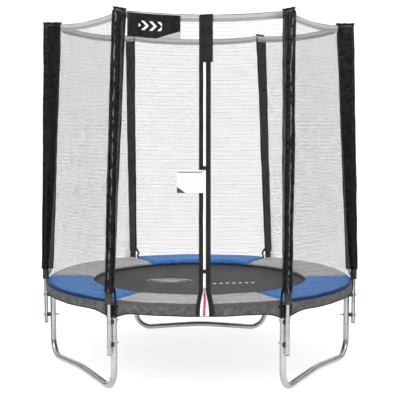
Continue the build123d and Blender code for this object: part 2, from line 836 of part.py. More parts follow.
def write_net():
    panel = net_panel()
    others = [angle for angle in pole_angles if angle != front_panel_angle]
    save("net_wall", ring_of(panel, others))
    left, right = front_halves(panel)
    save("net_front_left", left)
    save("net_front_right", right)
    save("net_top_band", ring_of(top_band_strip(), pole_angles))
    save("net_skirt", net_skirt())


def write_door():
    save("door_tapes", Compound(children=[door_tape(-1), door_tape(1)]))
    save("door_top_strip", door_top_strip())
    save("zip_chain", Compound(children=zip_chain()))
    save("zip_slider", zip_slider())
    save("zip_pull", zip_pull())
    for name, height in flap_heights.items():
        save(name, door_tab(height))
    save("instruction_card", instruction_card())
    save("banner", banner())


os.makedirs("parts", exist_ok=True)
write_ring_and_legs()
write_poles()
write_mat_and_pad()
write_net()
write_door()



def hinge_at(height):
    return door_plane.from_local_coords((zip_middle + flap_reach_right, along(height), tape_thickness))


pin = door_plane.from_local_coords((zip_middle, pin_up, pin_out))
print("door direction", door_run, "door plane origin", door_origin)
print("pull pin at", pin)
print("slider travel", along(slider_travel_top) - slider_length)
for tab_name, tab_z in flap_heights.items():
    print(tab_name, "hinge at", hinge_at(tab_z))
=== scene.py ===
"""The looks of the garden trampoline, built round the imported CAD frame. Metres, +Z up."""

import math

import bmesh
import bpy
import numpy as np
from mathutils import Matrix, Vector, noise


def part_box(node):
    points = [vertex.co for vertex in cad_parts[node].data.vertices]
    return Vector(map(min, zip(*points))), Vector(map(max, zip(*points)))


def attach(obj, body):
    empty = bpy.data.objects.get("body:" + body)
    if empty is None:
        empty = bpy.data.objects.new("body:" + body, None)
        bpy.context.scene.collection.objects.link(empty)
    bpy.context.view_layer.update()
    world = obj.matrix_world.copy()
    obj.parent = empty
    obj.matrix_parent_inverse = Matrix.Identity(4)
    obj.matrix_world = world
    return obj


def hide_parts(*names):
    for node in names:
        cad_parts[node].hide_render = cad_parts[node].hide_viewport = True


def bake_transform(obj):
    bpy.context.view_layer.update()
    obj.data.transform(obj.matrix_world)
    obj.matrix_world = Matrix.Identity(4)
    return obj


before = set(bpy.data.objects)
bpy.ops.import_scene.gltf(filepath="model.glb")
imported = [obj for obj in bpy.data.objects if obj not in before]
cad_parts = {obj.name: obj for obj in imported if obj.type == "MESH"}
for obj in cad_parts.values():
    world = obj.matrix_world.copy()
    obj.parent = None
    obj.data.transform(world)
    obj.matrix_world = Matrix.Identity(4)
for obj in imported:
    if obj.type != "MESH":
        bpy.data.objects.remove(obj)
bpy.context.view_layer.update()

# ---------------------------------------------------------------- sizes shared with the frame
UP = Vector((0, 0, 1))
RIGHT = Vector((1, 0, 0))
POLES = 6
STEP = 2 * math.pi / POLES
DOOR_POLE = 4                          # the pole at the left of the door
SPRINGS = 36
SPRING_STEP = 2 * math.pi / SPRINGS

RING_R = 0.981
RING_Z = 0.498
TUBE_R = 0.019
SOCKET_R = 0.02305
POLE_R = 1.027
POLE_BEND_Z = 0.600
LEAN_HEIGHT = 1.600
LEAN = 0.040

SLEEVE_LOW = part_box("pole_sleeve_1")[0].z
SLEEVE_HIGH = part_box("pole_sleeve_1")[1].z
SLEEVE_ROUND = 0.024
SLEEVE_EDGE = 0.003
SLEEVE_LOOSE = 0.0032                  # how far the vinyl stands off the foam on average
REACH_LOW = 0.045
REACH_HIGH = 0.083

MAT_LOW, MAT_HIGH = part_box("jump_mat")
MAT_R = MAT_HIGH.x
MAT_MID = (MAT_LOW.z + MAT_HIGH.z) / 2
PAD_LOW, PAD_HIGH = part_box("pad_blue")
PAD_INNER = 0.700
PAD_OUTER = 1.002
NET_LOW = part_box("net_wall")[0].z
NET_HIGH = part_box("net_wall")[1].z
NET_R = 1.0037
NET_INSET = 0.050
BAND_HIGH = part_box("net_top_band")[1].z
SKIRT_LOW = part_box("net_skirt")[0].z

DOOR_RUN = Vector((0, 0.117017, 0.99313)).normalized()
DOOR_OUT = Vector((0, -0.99313, 0.117017)).normalized()
DOOR_ORIGIN = Vector((0, -0.998537, 0.621468))
DOOR_X = 0.0355                        # the zip's centre line
TAPE_INNER = 0.0068


# ---------------------------------------------------------------- small helpers
def turn(point, angle):
    """A point turned round the trampoline's axis."""
    c = math.cos(angle)
    s = math.sin(angle)
    return Vector((c * point[0] - s * point[1], s * point[0] + c * point[1], point[2]))


def spot(radius, angle, height):
    return Vector((radius * math.cos(angle), radius * math.sin(angle), height))


def lerp(a, b, share):
    return a + (b - a) * share


def fade(value, low, high):
    """Smooth step from 0 at low to 1 at high."""
    share = min(1.0, max(0.0, (value - low) / (high - low)))
    return share * share * (3 - 2 * share)


def ripple(x, y, z):
    return noise.noise(Vector((x, y, z)))


def pole_spot(angle, inward, sideways, height):
    """A point beside the axis of the pole at an angle."""
    share = max(0.0, height - POLE_BEND_Z) / LEAN_HEIGHT
    return turn((POLE_R - share * LEAN - inward, share * LEAN + sideways, height), angle)


def door_spot(x, along, out=0.0):
    """A point in the door's plane, which leans with the net."""
    return DOOR_ORIGIN + Vector((x, 0, 0)) + DOOR_RUN * along + DOOR_OUT * out


def door_along(height):
    return (height - DOOR_ORIGIN.z) / DOOR_RUN.z


# ---------------------------------------------------------------- shapes: (points, faces, flat)
def skin(rings, flat, closed=True, loop=False, low_cap=True, high_cap=True):
    """Quads between rings of points. closed joins each ring's ends, loop the last to the first."""
    count = len(rings[0])
    faces = []
    for i in range(len(rings) if loop else len(rings) - 1):
        here = i * count
        there = (i + 1) % len(rings) * count
        for j in range(count if closed else count - 1):
            k = (j + 1) % count
            faces.append((here + j, here + k, there + k, there + j))
    last = (len(rings) - 1) * count
    if closed and not loop and low_cap:
        faces.append(tuple(reversed(range(count))))
    if closed and not loop and high_cap:
        faces.append(tuple(range(last, last + count)))
    return [p for ring in rings for p in ring], faces, flat


def tangents(path, loop):
    last = len(path) - 1
    found = []
    for i in range(len(path)):
        ahead = path[(i + 1) % len(path)] if loop else path[min(i + 1, last)]
        found.append((ahead - path[i - 1 if loop or i else 0]).normalized())
    return found


def ribbon(path, width, thickness, across, columns=6, loop=False):
    """A strip with rounded edges along a path. width and across are one value or one for each point."""
    rings = []
    flat = []
    run = 0.0
    for i, tangent in enumerate(tangents(path, loop)):
        side = across[i] if isinstance(across, list) else across
        side = (side - tangent * side.dot(tangent)).normalized()
        face = side.cross(tangent)
        half = (width[i] if isinstance(width, list) else width) / 2
        ring = []
        for sign in (1, -1):
            for column in range(columns):
                share = sign * (2 * column / columns - 1)
                height = sign * thickness / 2 * math.sqrt(1 - share ** 6)
                ring.append(path[i] + side * (share * half) + face * height)
                flat.append((share * half, run))
        rings.append(ring)
        run += (path[(i + 1) % len(path)] - path[i]).length
    return skin(rings, flat, loop=loop)


def bar(path, radius, sides=8, loop=False):
    """A round bar along a path. A loop has to be roughly level."""
    rings = []
    flat = []
    side = None
    run = 0.0
    for i, tangent in enumerate(tangents(path, loop)):
        if loop:
            side = UP.cross(tangent).normalized()
        elif side is None:
            side = tangent.orthogonal().normalized()
        else:
            side = (side - tangent * side.dot(tangent)).normalized()
        other = tangent.cross(side)
        size = radius[i] if isinstance(radius, list) else radius
        for j in range(sides):
            angle = 2 * math.pi * j / sides
            flat.append((size * angle, run))
        rings.append([path[i] + side * (size * math.cos(2 * math.pi * j / sides))
                      + other * (size * math.sin(2 * math.pi * j / sides)) for j in range(sides)])
        run += (path[(i + 1) % len(path)] - path[i]).length
    return skin(rings, flat, loop=loop)


def block(centre, x_half, y_half, z_half):
    """A small brick from its three half sizes, given as vectors."""
    rings = []
    for z in (-1, 1):
        rings.append([centre + z_half * z + x_half * x + y_half * y
                      for x, y in ((-1, -1), (1, -1), (1, 1), (-1, 1))])
    return skin(rings, [(0.0, 0.0)] * 8)


def smooth_path(points, count):
    """Catmull-Rom points through a few chosen ones."""
    ends = [points[0] * 2 - points[1]] + list(points) + [points[-1] * 2 - points[-2]]
    spans = len(points) - 1
    path = []
    for i in range(count):
        at = i / (count - 1) * spans
        k = min(int(at), spans - 1)
        t = at - k
        a, b, c, d = ends[k:k + 4]
        path.append((b * 2 + (c - a) * t + (a * 2 - b * 5 + c * 4 - d) * t * t
                     + (b * 3 - a - c * 3 + d) * t ** 3) / 2)
    return path


def make(name, shapes, paint, body="frame", nodes=()):
    """One piece from its shapes, with its material, its body and the CAD nodes it stands for."""
    points = []
    faces = []
    flat = []
    for shape_points, shape_faces, shape_flat in shapes:
        start = len(points)
        points += shape_points
        faces += [tuple(start + i for i in face) for face in shape_faces]
        flat += shape_flat
    mesh = bpy.data.meshes.new(name)
    mesh.from_pydata(points, [], faces)
    work = bmesh.new()
    work.from_mesh(mesh)
    bmesh.ops.recalc_face_normals(work, faces=work.faces)
    work.to_mesh(mesh)
    work.free()
    layer = mesh.uv_layers.new(name="flat")
    corner = np.zeros(len(mesh.loops), int)
    mesh.loops.foreach_get("vertex_index", corner)
    layer.data.foreach_set("uv", np.array(flat, float)[corner].ravel())
    mesh.shade_smooth()
    mesh.set_sharp_from_angle(angle=math.radians(50))
    mesh.materials.append(paint)
    piece = bpy.data.objects.new(name, mesh)
    bpy.context.scene.collection.objects.link(piece)
    if nodes:
        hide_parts(*nodes)
    if body:
        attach(piece, body)
    return piece


def thicken(piece, thickness, offset):
    """Gives a sheet its thickness, along its normals with an offset of 1, against them with -1."""
    wall = piece.modifiers.new("wall", "SOLIDIFY")
    wall.thickness = thickness
    wall.offset = offset


# ---------------------------------------------------------------- materials
class Paint:
    """A node material being built. Sizes inside it are metres."""

    def __init__(self, name, **values):
        self.material = bpy.data.materials.new(name)
        self.material.use_nodes = True
        self.tree = self.material.node_tree
        self.shader = self.tree.nodes["Principled BSDF"]
        for socket, value in values.items():
            self.shader.inputs[socket.replace("_", " ")].default_value = value
        where = self.tree.nodes.new("ShaderNodeTexCoord")
        self.place = where.outputs["Object"]
        self.flat = where.outputs["UV"]
        self.normal = None

    def node(self, kind, inputs, **settings):
        made = self.tree.nodes.new("ShaderNode" + kind)
        for key, value in settings.items():
            setattr(made, key, value)
        for key, value in inputs.items():
            if isinstance(value, bpy.types.NodeSocket):
                self.tree.links.new(value, made.inputs[key])
            else:
                made.inputs[key].default_value = value
        return made

    def math(self, operation, a, b=0.0, c=0.0):
        return self.node("Math", {0: a, 1: b, 2: c}, operation=operation).outputs[0]

    def stretched(self, vector, scale):
        made = self.node("VectorMath", {0: vector, 1: scale}, operation="MULTIPLY")
        return made.outputs[0]

    def split(self, vector):
        made = self.node("SeparateXYZ", {0: vector})
        return made.outputs[0], made.outputs[1], made.outputs[2]

    def across_axis(self):
        """x and y of a point, and its distance from the trampoline's axis."""
        x, y, _ = self.split(self.place)
        squares = self.math("ADD", self.math("MULTIPLY", x, x), self.math("MULTIPLY", y, y))
        return x, y, self.math("SQRT", squares)

    def noise(self, scale, detail=3.0, distortion=0.0, vector=None):
        made = self.node("TexNoise", {"Vector": vector or self.place, "Scale": scale,
                                      "Detail": detail, "Distortion": distortion})
        return made.outputs[0]

    def cells(self, scale, vector=None):
        made = self.node("TexVoronoi", {"Vector": vector or self.place, "Scale": scale})
        return self.split(made.outputs["Color"])[0]

    def ramp(self, amount, *stops):
        made = self.node("ValToRGB", {0: amount})
        marks = made.color_ramp.elements
        while len(marks) < len(stops):
            marks.new(0.5)
        for mark, (at, colour) in zip(marks, stops):
            mark.position = at
            mark.color = (*colour, 1.0) if isinstance(colour, tuple) else (colour, colour, colour, 1.0)
        return made.outputs[0]

    def mix(self, amount, a, b):
        made = self.node("Mix", {0: amount, 6: self.colour(a), 7: self.colour(b)}, data_type="RGBA")
        return made.outputs[2]

    @staticmethod
    def colour(value):
        return (*value, 1.0) if isinstance(value, tuple) else value

    def between(self, value, low, high):
        """1 where the value is between low and high."""
        return self.math("MULTIPLY", self.math("GREATER_THAN", value, low),
                         self.math("LESS_THAN", value, high))

    def threads(self, value, pitch):
        """A rounded rib every pitch metres, from 0 to 1."""
        wave = self.math("SINE", self.math("MULTIPLY", value, 2 * math.pi / pitch))
        return self.math("MULTIPLY_ADD", wave, 0.5, 0.5)

    def weave(self, pitch, vector=None):
        x, y, _ = self.split(vector or self.flat)
        return self.math("MULTIPLY", self.threads(x, pitch), self.threads(y, pitch))

    def dashes(self, across, at, along, pitch, width=0.0008):
        """A row of stitches at a distance across, running along."""
        off = self.math("ABSOLUTE", self.math("SUBTRACT", across, at))
        row = self.math("LESS_THAN", off, width)
        gaps = self.math("LESS_THAN", self.math("PINGPONG", along, pitch / 2), pitch * 0.33)
        return self.math("MULTIPLY", row, gaps)

    def bump(self, height, depth):
        inputs = {"Height": height, "Strength": 1.0, "Distance": depth}
        if self.normal:
            inputs["Normal"] = self.normal
        self.normal = self.node("Bump", inputs).outputs[0]
        return self

    def set(self, socket, value):
        self.tree.links.new(value, self.shader.inputs[socket])
        return self

    def done(self):
        if self.normal:
            self.set("Normal", self.normal)
        return self.material


def steel():
    """Galvanised tube: spangle, clouding and fine drawn streaks."""
    paint = Paint("galvanised_steel", Metallic=1.0)
    spangle = paint.cells(55.0)
    cloud = paint.noise(9.0, 5.0)
    brushed = paint.noise(14.0, 6.0, vector=paint.stretched(paint.place, (18.0, 18.0, 1.5)))
    tint = paint.ramp(cloud, (0.3, (0.40, 0.425, 0.425)), (0.7, (0.58, 0.61, 0.605)))
    tone = paint.mix(paint.math("MULTIPLY", spangle, 0.14), tint, (0.42, 0.44, 0.45))
    paint.set("Base Color", paint.mix(paint.ramp(brushed, (0.55, 0.0), (0.75, 0.3)), tone, (0.4, 0.42, 0.41)))
    paint.set("Roughness", paint.ramp(brushed, (0.3, 0.2), (0.8, 0.42)))
    paint.bump(brushed, 0.00015).bump(paint.noise(60.0, 2.0), 0.0004)
    return paint.done()


def zinc(name, threaded=False):
    paint = Paint(name, Metallic=0.95)
    grain = paint.noise(220.0, 3.0)
    paint.set("Base Color", paint.ramp(grain, (0.3, (0.42, 0.39, 0.33)), (0.7, (0.72, 0.71, 0.67))))
    paint.set("Roughness", paint.ramp(grain, (0.2, 0.25), (0.8, 0.5)))
    paint.bump(grain, 0.0002)
    if threaded:
        _, _, radius = paint.across_axis()
        paint.bump(paint.threads(radius, 0.00125), 0.0004)
    return paint.done()


def plastic():
    """Moulded black plastic with a fine grain."""
    paint = Paint("black_plastic", Roughness=0.45)
    grain = paint.noise(900.0, 2.0)
    paint.set("Base Color", paint.ramp(paint.noise(35.0), (0.3, 0.012), (0.75, 0.035)))
    paint.bump(grain, 0.0002)
    return paint.done()


def foam():
    """Dark grey foam with fine cells."""
    paint = Paint("pole_foam", Roughness=0.9)
    cells = paint.cells(700.0)
    paint.set("Base Color", paint.ramp(paint.noise(28.0, 4.0), (0.3, 0.022), (0.75, 0.06)))
    paint.bump(cells, 0.0006)
    return paint.done()


def sleeve_vinyl():
    """Crackled black vinyl with stitches by the sewn edge and a crease down the front, along which a broken
    pale streak is a painted highlight.
    """
    paint = Paint("sleeve_vinyl", Specular_IOR_Level=0.19)
    edge, along, _ = paint.split(paint.flat)
    low = max(point[4] for point in sleeve_outline(REACH_LOW)) - 0.024
    high = max(point[4] for point in sleeve_outline(REACH_HIGH)) - 0.024
    slope = (high - low) / (SLEEVE_HIGH - SLEEVE_LOW)
    centre = paint.math("ADD", paint.math("MULTIPLY", along, slope), low - slope * SLEEVE_LOW)
    wander = paint.math("MULTIPLY", paint.noise(11.0, 4.0), 0.024)
    off = paint.math("SUBTRACT", paint.math("SUBTRACT", edge, centre), wander)
    crease = paint.ramp(paint.math("ABSOLUTE", off), (0.0, 1.0), (0.0030, 0.0))
    broken = paint.ramp(paint.noise(24.0, 6.0), (0.42, 0.0), (0.62, 1.0))
    # Painted highlight: the crease line, broken up by noise, marks where the vinyl is coloured pale.
    painted_highlight = paint.math("MULTIPLY", crease, broken)
    crackle = paint.noise(34.0, 5.0, 0.8)
    fine = paint.noise(260.0, 2.0)
    stitches = paint.math("MAXIMUM", paint.dashes(edge, 0.011, along, 0.007),
                          paint.dashes(edge, 0.006, along, 0.007))
    base = paint.ramp(crackle, (0.3, (0.002, 0.002, 0.003)), (0.8, (0.010, 0.010, 0.013)))
    base = paint.mix(stitches, base, (0.06, 0.06, 0.06))
    # The painted highlight lightens the base colour to pale grey along the crease.
    paint.set("Base Color", paint.mix(painted_highlight, base, (0.22, 0.22, 0.23)))
    paint.set("Roughness", paint.ramp(crackle, (0.3, 0.2), (0.75, 0.42)))
    paint.bump(crackle, 0.006).bump(fine, 0.0004).bump(stitches, 0.0006).bump(crease, 0.0008)
    return paint.done()


def webbing(name="black_webbing", tone=0.010):
    paint = Paint(name, Roughness=0.75, Specular_IOR_Level=0.2)
    across, along, _ = paint.split(paint.flat)
    ribs = paint.math("MULTIPLY", paint.threads(across, 0.0016), paint.threads(along, 0.0011))
    rows = paint.dashes(paint.math("ABSOLUTE", across), 0.006, along, 0.004, 0.0005)
    base = paint.ramp(paint.noise(60.0), (0.3, tone * 0.6), (0.7, tone * 1.7))
    paint.set("Base Color", paint.mix(rows, base, (0.07, 0.07, 0.07)))
    paint.bump(ribs, 0.0006).bump(rows, 0.0005)
    return paint.done()


def mat_weave():
    """Woven black mat with three stitched rows near its edge."""
    paint = Paint("mat_weave", Specular_IOR_Level=0.06)
    x, y, radius = paint.across_axis()
    round_way = paint.math("MULTIPLY", paint.math("ARCTAN2", y, x), MAT_R)
    weave = paint.weave(0.0026, paint.place)
    streak = paint.noise(3.0, 4.0, vector=paint.stretched(paint.place, (6.0, 0.5, 1.0)))
    rows = paint.dashes(radius, MAT_R - 0.006, round_way, 0.008)
    for inset in (0.012, 0.024):
        rows = paint.math("MAXIMUM", rows, paint.dashes(radius, MAT_R - inset, round_way, 0.008))
    base = paint.ramp(streak, (0.3, (0.028, 0.027, 0.029)), (0.75, (0.052, 0.051, 0.053)))
    base = paint.mix(paint.math("MULTIPLY", weave, 0.25), base, (0.11, 0.11, 0.115))
    paint.set("Base Color", paint.mix(rows, base, (0.3, 0.3, 0.3)))
    paint.set("Roughness", paint.ramp(weave, (0.2, 0.42), (0.9, 0.6)))
    paint.bump(weave, 0.0006).bump(streak, 0.002)
    return paint.done()


def pad_vinyl(name, dark, light, side):
    """Coated pad fabric: fine weave, crinkles and a painted shade that colours the outer side darker."""
    paint = Paint(name, Specular_IOR_Level=0.10)
    edge, along, _ = paint.split(paint.flat)
    crinkle = paint.noise(26.0, 5.0, 1.0)
    broad = paint.noise(5.0, 3.0)
    weave = paint.weave(0.0018)
    base = paint.mix(paint.ramp(crinkle, (0.35, 0.0), (0.7, 1.0)), dark, light)
    base = paint.mix(paint.math("MULTIPLY", broad, 0.25), base, light)
    # Painted shade: past the top's outer edge, the pad's outer side takes the darker side colour.
    painted_shade_rim = paint.math("GREATER_THAN", edge, PAD_OUTER - PAD_INNER - 0.010)
    seam = paint.dashes(edge, PAD_OUTER - PAD_INNER - 0.012, along, 0.006)
    seam = paint.math("MAXIMUM", seam, paint.dashes(edge, 0.010, along, 0.006))
    paint.set("Base Color", paint.mix(seam, paint.mix(painted_shade_rim, base, side), light))
    paint.set("Roughness", paint.ramp(crinkle, (0.3, 0.32), (0.8, 0.52)))
    paint.bump(crinkle, 0.005).bump(weave, 0.0003).bump(seam, 0.0006)
    return paint.done()


def net_mesh(name, yarn_half, run, bunched):
    """Knotted netting: two sets of slanting yarns, thicker along its creases and beside the sleeves."""
    paint = Paint(name, Roughness=0.8)
    x, y, _ = paint.split(paint.flat)
    cell = 0.006
    crease = paint.noise(5.5, 6.0, 1.5, vector=paint.stretched(paint.place, run))
    gather = paint.ramp(crease, (0.38, 0.9), (0.5, 1.0), (0.53, 1.3), (0.57, 1.0))
    beside = paint.ramp(paint.math("ABSOLUTE", x), (0.41, 0.0), (0.47, bunched))
    folds = paint.math("MULTIPLY", beside, paint.ramp(y, (0.2, 1.0), (1.3, 0.1)))
    gather = paint.math("ADD", gather, paint.math("MULTIPLY", folds, paint.noise(30.0, 3.0)))
    half_yarn = paint.math("MULTIPLY", gather, yarn_half)
    rows = []
    for way in ("ADD", "SUBTRACT"):
        slant = paint.math(way, x, y)
        rows.append(paint.math("LESS_THAN", paint.math("PINGPONG", slant, cell / 2), half_yarn))
    knit = paint.math("LESS_THAN", paint.math("PINGPONG", y, 0.012), 0.00028)
    yarn = paint.math("MAXIMUM", paint.math("MAXIMUM", rows[0], rows[1]), knit)
    tone = paint.ramp(paint.noise(9.0, 4.0), (0.3, (0.035, 0.035, 0.034)), (0.7, (0.075, 0.075, 0.072)))
    paint.set("Base Color", tone)
    paint.set("Alpha", yarn)
    return paint.done()


def net_band(low, high):
    """Doubled hem tape along the top of the net: a lighter upper and a darker lower stripe."""
    paint = Paint("net_hem", Roughness=0.8)
    across, along, _ = paint.split(paint.flat)
    stripe = paint.math("GREATER_THAN", across, 0.0)
    weave = paint.weave(0.002)
    tone = paint.mix(stripe, (0.30, 0.30, 0.29), (0.50, 0.50, 0.49))
    tone = paint.mix(paint.math("MULTIPLY", weave, 0.5), tone, (0.2, 0.2, 0.2))
    rows = paint.dashes(paint.math("ABSOLUTE", across), 0.016, along, 0.006)
    paint.set("Base Color", paint.mix(rows, tone, (0.75, 0.75, 0.75)))
    paint.set("Alpha", paint.mix(stripe, (high, high, high), (low, low, low)))
    paint.bump(weave, 0.0005)
    return paint.done()


def skirt_mesh():
    """Dense grey mesh with slanting ribs and a dark lower edge."""
    paint = Paint("skirt_mesh", Roughness=0.7)
    along, up, _ = paint.split(paint.flat)
    slant = paint.math("ADD", along, paint.math("MULTIPLY", up, 0.9))
    ribs = paint.threads(slant, 0.0042)
    cross = paint.threads(up, 0.0036)
    crinkle = paint.noise(30.0, 5.0, 0.8)
    tone = paint.mix(paint.math("MULTIPLY", ribs, cross), (0.040, 0.038, 0.036), (0.13, 0.125, 0.12))
    tone = paint.mix(paint.ramp(crinkle, (0.4, 0.0), (0.7, 0.6)), tone, (0.17, 0.165, 0.155))
    paint.set("Base Color", paint.mix(paint.math("LESS_THAN", up, 0.006), tone, (0.03, 0.03, 0.03)))
    paint.bump(crinkle, 0.004).bump(paint.math("MULTIPLY", ribs, cross), 0.0008)
    return paint.done()


def satin(name, tone, half_width):
    """Black edging tape with a stitched row near each edge."""
    paint = Paint(name, Roughness=0.6, Specular_IOR_Level=0.2)
    across, along, _ = paint.split(paint.flat)
    ribs = paint.threads(along, 0.0014)
    rows = paint.dashes(paint.math("ABSOLUTE", across), half_width - 0.003, along, 0.005, 0.0006)
    base = paint.ramp(paint.noise(18.0, 4.0), (0.3, tone * 0.6), (0.7, tone * 1.8))
    paint.set("Base Color", paint.mix(rows, base, (0.1, 0.1, 0.1)))
    paint.bump(ribs, 0.0004).bump(paint.noise(25.0, 3.0), 0.003).bump(rows, 0.0006)
    return paint.done()


def zip_white():
    """Smooth white nylon of the zip."""
    paint = Paint("zip_white", Roughness=0.4)
    paint.set("Base Color", paint.ramp(paint.noise(120.0), (0.3, 0.82), (0.7, 0.95)))
    paint.bump(paint.noise(700.0), 0.0002)
    return paint.done()


def pull_cloth():
    """Red ribbon with white along both edges, a painted highlight for the ribbon's glints."""
    paint = Paint("pull_ribbon", Roughness=0.4, Sheen_Weight=0.3)
    across, along, _ = paint.split(paint.flat)
    # Painted highlight: the outer part of each edge is coloured white.
    edge = paint.math("GREATER_THAN", paint.math("ABSOLUTE", across), 0.0072)
    tone = paint.ramp(paint.noise(90.0), (0.3, (0.52, 0.008, 0.03)), (0.7, (0.80, 0.03, 0.06)))
    paint.set("Base Color", paint.mix(edge, tone, (0.88, 0.84, 0.84)))
    paint.bump(paint.threads(along, 0.0012), 0.0004)
    return paint.done()


def card_print():
    """White card with a header bar, a dark corner wedge and plain rules in place of writing."""
    paint = Paint("card_white", Roughness=0.35)
    x, y, _ = paint.split(paint.flat)
    header = paint.math("MULTIPLY", paint.between(y, 0.046, 0.057), paint.between(x, -0.068, 0.068))
    lines = paint.math("LESS_THAN", paint.math("PINGPONG", y, 0.005), 0.0011)
    speckle = paint.noise(160.0, 0.0, vector=paint.stretched(paint.flat, (1, 0.2, 1)))
    words = paint.math("GREATER_THAN", speckle, 0.42)
    rules = paint.math("MULTIPLY", paint.math("MULTIPLY", lines, words),
                       paint.math("MULTIPLY", paint.between(y, -0.05, 0.04), paint.between(x, -0.062, 0.066)))
    wedge = paint.math("LESS_THAN", paint.math("ADD", x, paint.math("MULTIPLY", y, 1.4)), -0.115)
    tone = paint.mix(paint.noise(14.0), (0.74, 0.75, 0.76), (0.9, 0.9, 0.9))
    tone = paint.mix(rules, tone, (0.22, 0.22, 0.24))
    tone = paint.mix(header, tone, (0.25, 0.27, 0.30))
    paint.set("Base Color", paint.mix(wedge, tone, (0.05, 0.05, 0.06)))
    paint.bump(paint.noise(40.0), 0.0005)
    return paint.done()


def banner_print():
    """Black coated patch with plain chevrons and a grey lower corner."""
    paint = Paint("banner_black", Roughness=0.24, Specular_IOR_Level=0.22)
    x, y, _ = paint.split(paint.flat)
    arrow = paint.math("ADD", x, paint.math("ABSOLUTE", y))
    marks = paint.math("LESS_THAN", paint.math("FRACT", paint.math("MULTIPLY", arrow, 22.0)), 0.38)
    area = paint.math("MULTIPLY", paint.between(x, -0.085, 0.045),
                      paint.math("LESS_THAN", paint.math("ABSOLUTE", y), 0.026))
    slope = paint.math("SUBTRACT", paint.math("MULTIPLY", x, 0.35), y)
    corner = paint.math("GREATER_THAN", slope, 0.074)
    crumple = paint.noise(26.0, 4.0, 0.8)
    base = paint.ramp(crumple, (0.3, (0.003, 0.003, 0.004)), (0.8, (0.014, 0.014, 0.017)))
    tone = paint.mix(paint.math("MULTIPLY", marks, area), base, (0.75, 0.76, 0.78))
    paint.set("Base Color", paint.mix(corner, tone, (0.36, 0.37, 0.39)))
    paint.bump(crumple, 0.006)
    return paint.done()


def print_white():
    """White ink over the mat's weave."""
    paint = Paint("mat_weave_print", Roughness=0.6)
    paint.set("Base Color", paint.ramp(paint.noise(60.0, 4.0), (0.3, 0.5), (0.6, 0.8)))
    paint.bump(paint.weave(0.0026, paint.place), 0.0004)
    return paint.done()


def floor_paint():
    """Pale floor; to glossy rays only it is dimmer and darker at the sides, a painted reflection for the
    metal.
    """
    paint = Paint("pale_floor", Roughness=0.9, Specular_IOR_Level=0.0, Emission_Strength=0.80)
    x, y, _ = paint.split(paint.place)
    ahead = paint.math("MULTIPLY", paint.math("ABSOLUTE", y), 0.5)
    aside = paint.math("SUBTRACT", paint.math("ABSOLUTE", x), ahead)
    # Painted reflection: dark side bands that only glossy rays see.
    flag = paint.ramp(paint.math("MULTIPLY", aside, 0.25), (0.25, 0.62), (0.5, 0.08))
    rays = paint.node("LightPath", {})
    glossy = rays.outputs["Is Glossy Ray"]
    # Glossy rays see the painted reflection in place of the white floor.
    paint.set("Emission Color", paint.mix(glossy, (1.0, 1.0, 1.0), flag))
    paint.set("Base Color", paint.mix(glossy, (0.32, 0.32, 0.32), paint.mix(1.0, (0, 0, 0), flag)))
    return paint.done()


# ---------------------------------------------------------------- camera, light and floor
def stage_and_light():
    """Camera, floor with a raised back edge, three lamps, and a world that is white except in reflections."""
    scene = bpy.context.scene
    camera = bpy.data.objects.new("camera", bpy.data.cameras.new("camera"))
    camera.data.lens = 85.0
    camera.data.sensor_width = 36.0
    camera.data.clip_end = 200.0
    camera.location = (0.0516, -6.2429, 1.5722)
    camera.rotation_euler = (math.pi / 2 - 0.0827, 0.0, 0.0078)
    scene.collection.objects.link(camera)
    scene.camera = camera

    half = 45.0
    cells = 24
    rows = []
    for j in range(cells + 1):
        y = lerp(-half, half, j / cells)
        rise = 14.0 * fade(y, 0.6 * half, half) ** 2
        rows.append([Vector((lerp(-half, half, i / cells), y, rise)) for i in range(cells + 1)])
    floor = make("floor", [skin(rows, [(0.0, 0.0)] * (cells + 1) ** 2, closed=False)],
                 floor_paint(), body=None)

    lights = {
        "key": ((-3.2, -5.0, 4.6), 2.6, 170.0),
        "fill": ((4.2, -3.6, 3.2), 2.2, 60.0),
        "top": ((0.5, 1.0, 5.5), 3.0, 90.0),
    }
    for name, (at, size, power) in lights.items():
        light = bpy.data.objects.new(name, bpy.data.lights.new(name, "AREA"))
        light.data.size = size
        light.data.energy = power
        light.location = at
        light.rotation_euler = (Vector((0, 0, 1.0)) - Vector(at)).to_track_quat("-Z", "Y").to_euler()
        scene.collection.objects.link(light)

    world = bpy.data.worlds.new("studio")
    scene.world = world
    world.use_nodes = True
    tree = world.node_tree
    background = tree.nodes["Background"]
    background.inputs["Strength"].default_value = 1.0
    rays = tree.nodes.new("ShaderNodeLightPath")
    where = tree.nodes.new("ShaderNodeTexCoord")
    split = tree.nodes.new("ShaderNodeSeparateXYZ")
    tree.links.new(where.outputs["Generated"], split.inputs[0])
    ramp = tree.nodes.new("ShaderNodeValToRGB")
    tree.links.new(split.outputs[2], ramp.inputs[0])
    stops = [(0.0, 0.10), (0.16, 0.16), (0.32, 0.75), (0.7, 1.0)]
    marks = ramp.color_ramp.elements
    while len(marks) < len(stops):
        marks.new(0.5)
    for mark, (at, tone) in zip(marks, stops):
        mark.position = at
        mark.color = (tone, tone, tone, 1.0)
    choose = tree.nodes.new("ShaderNodeMix")
    choose.data_type = "RGBA"
    tree.links.new(rays.outputs["Is Glossy Ray"], choose.inputs[0])
    choose.inputs[6].default_value = (1.0, 1.0, 1.0, 1.0)
    tree.links.new(ramp.outputs[0], choose.inputs[7])
    tree.links.new(choose.outputs[2], background.inputs["Color"])
    scene.view_settings.view_transform = "Standard"
    scene.cycles.use_denoising = True
    scene.cycles.transparent_max_bounces = 24


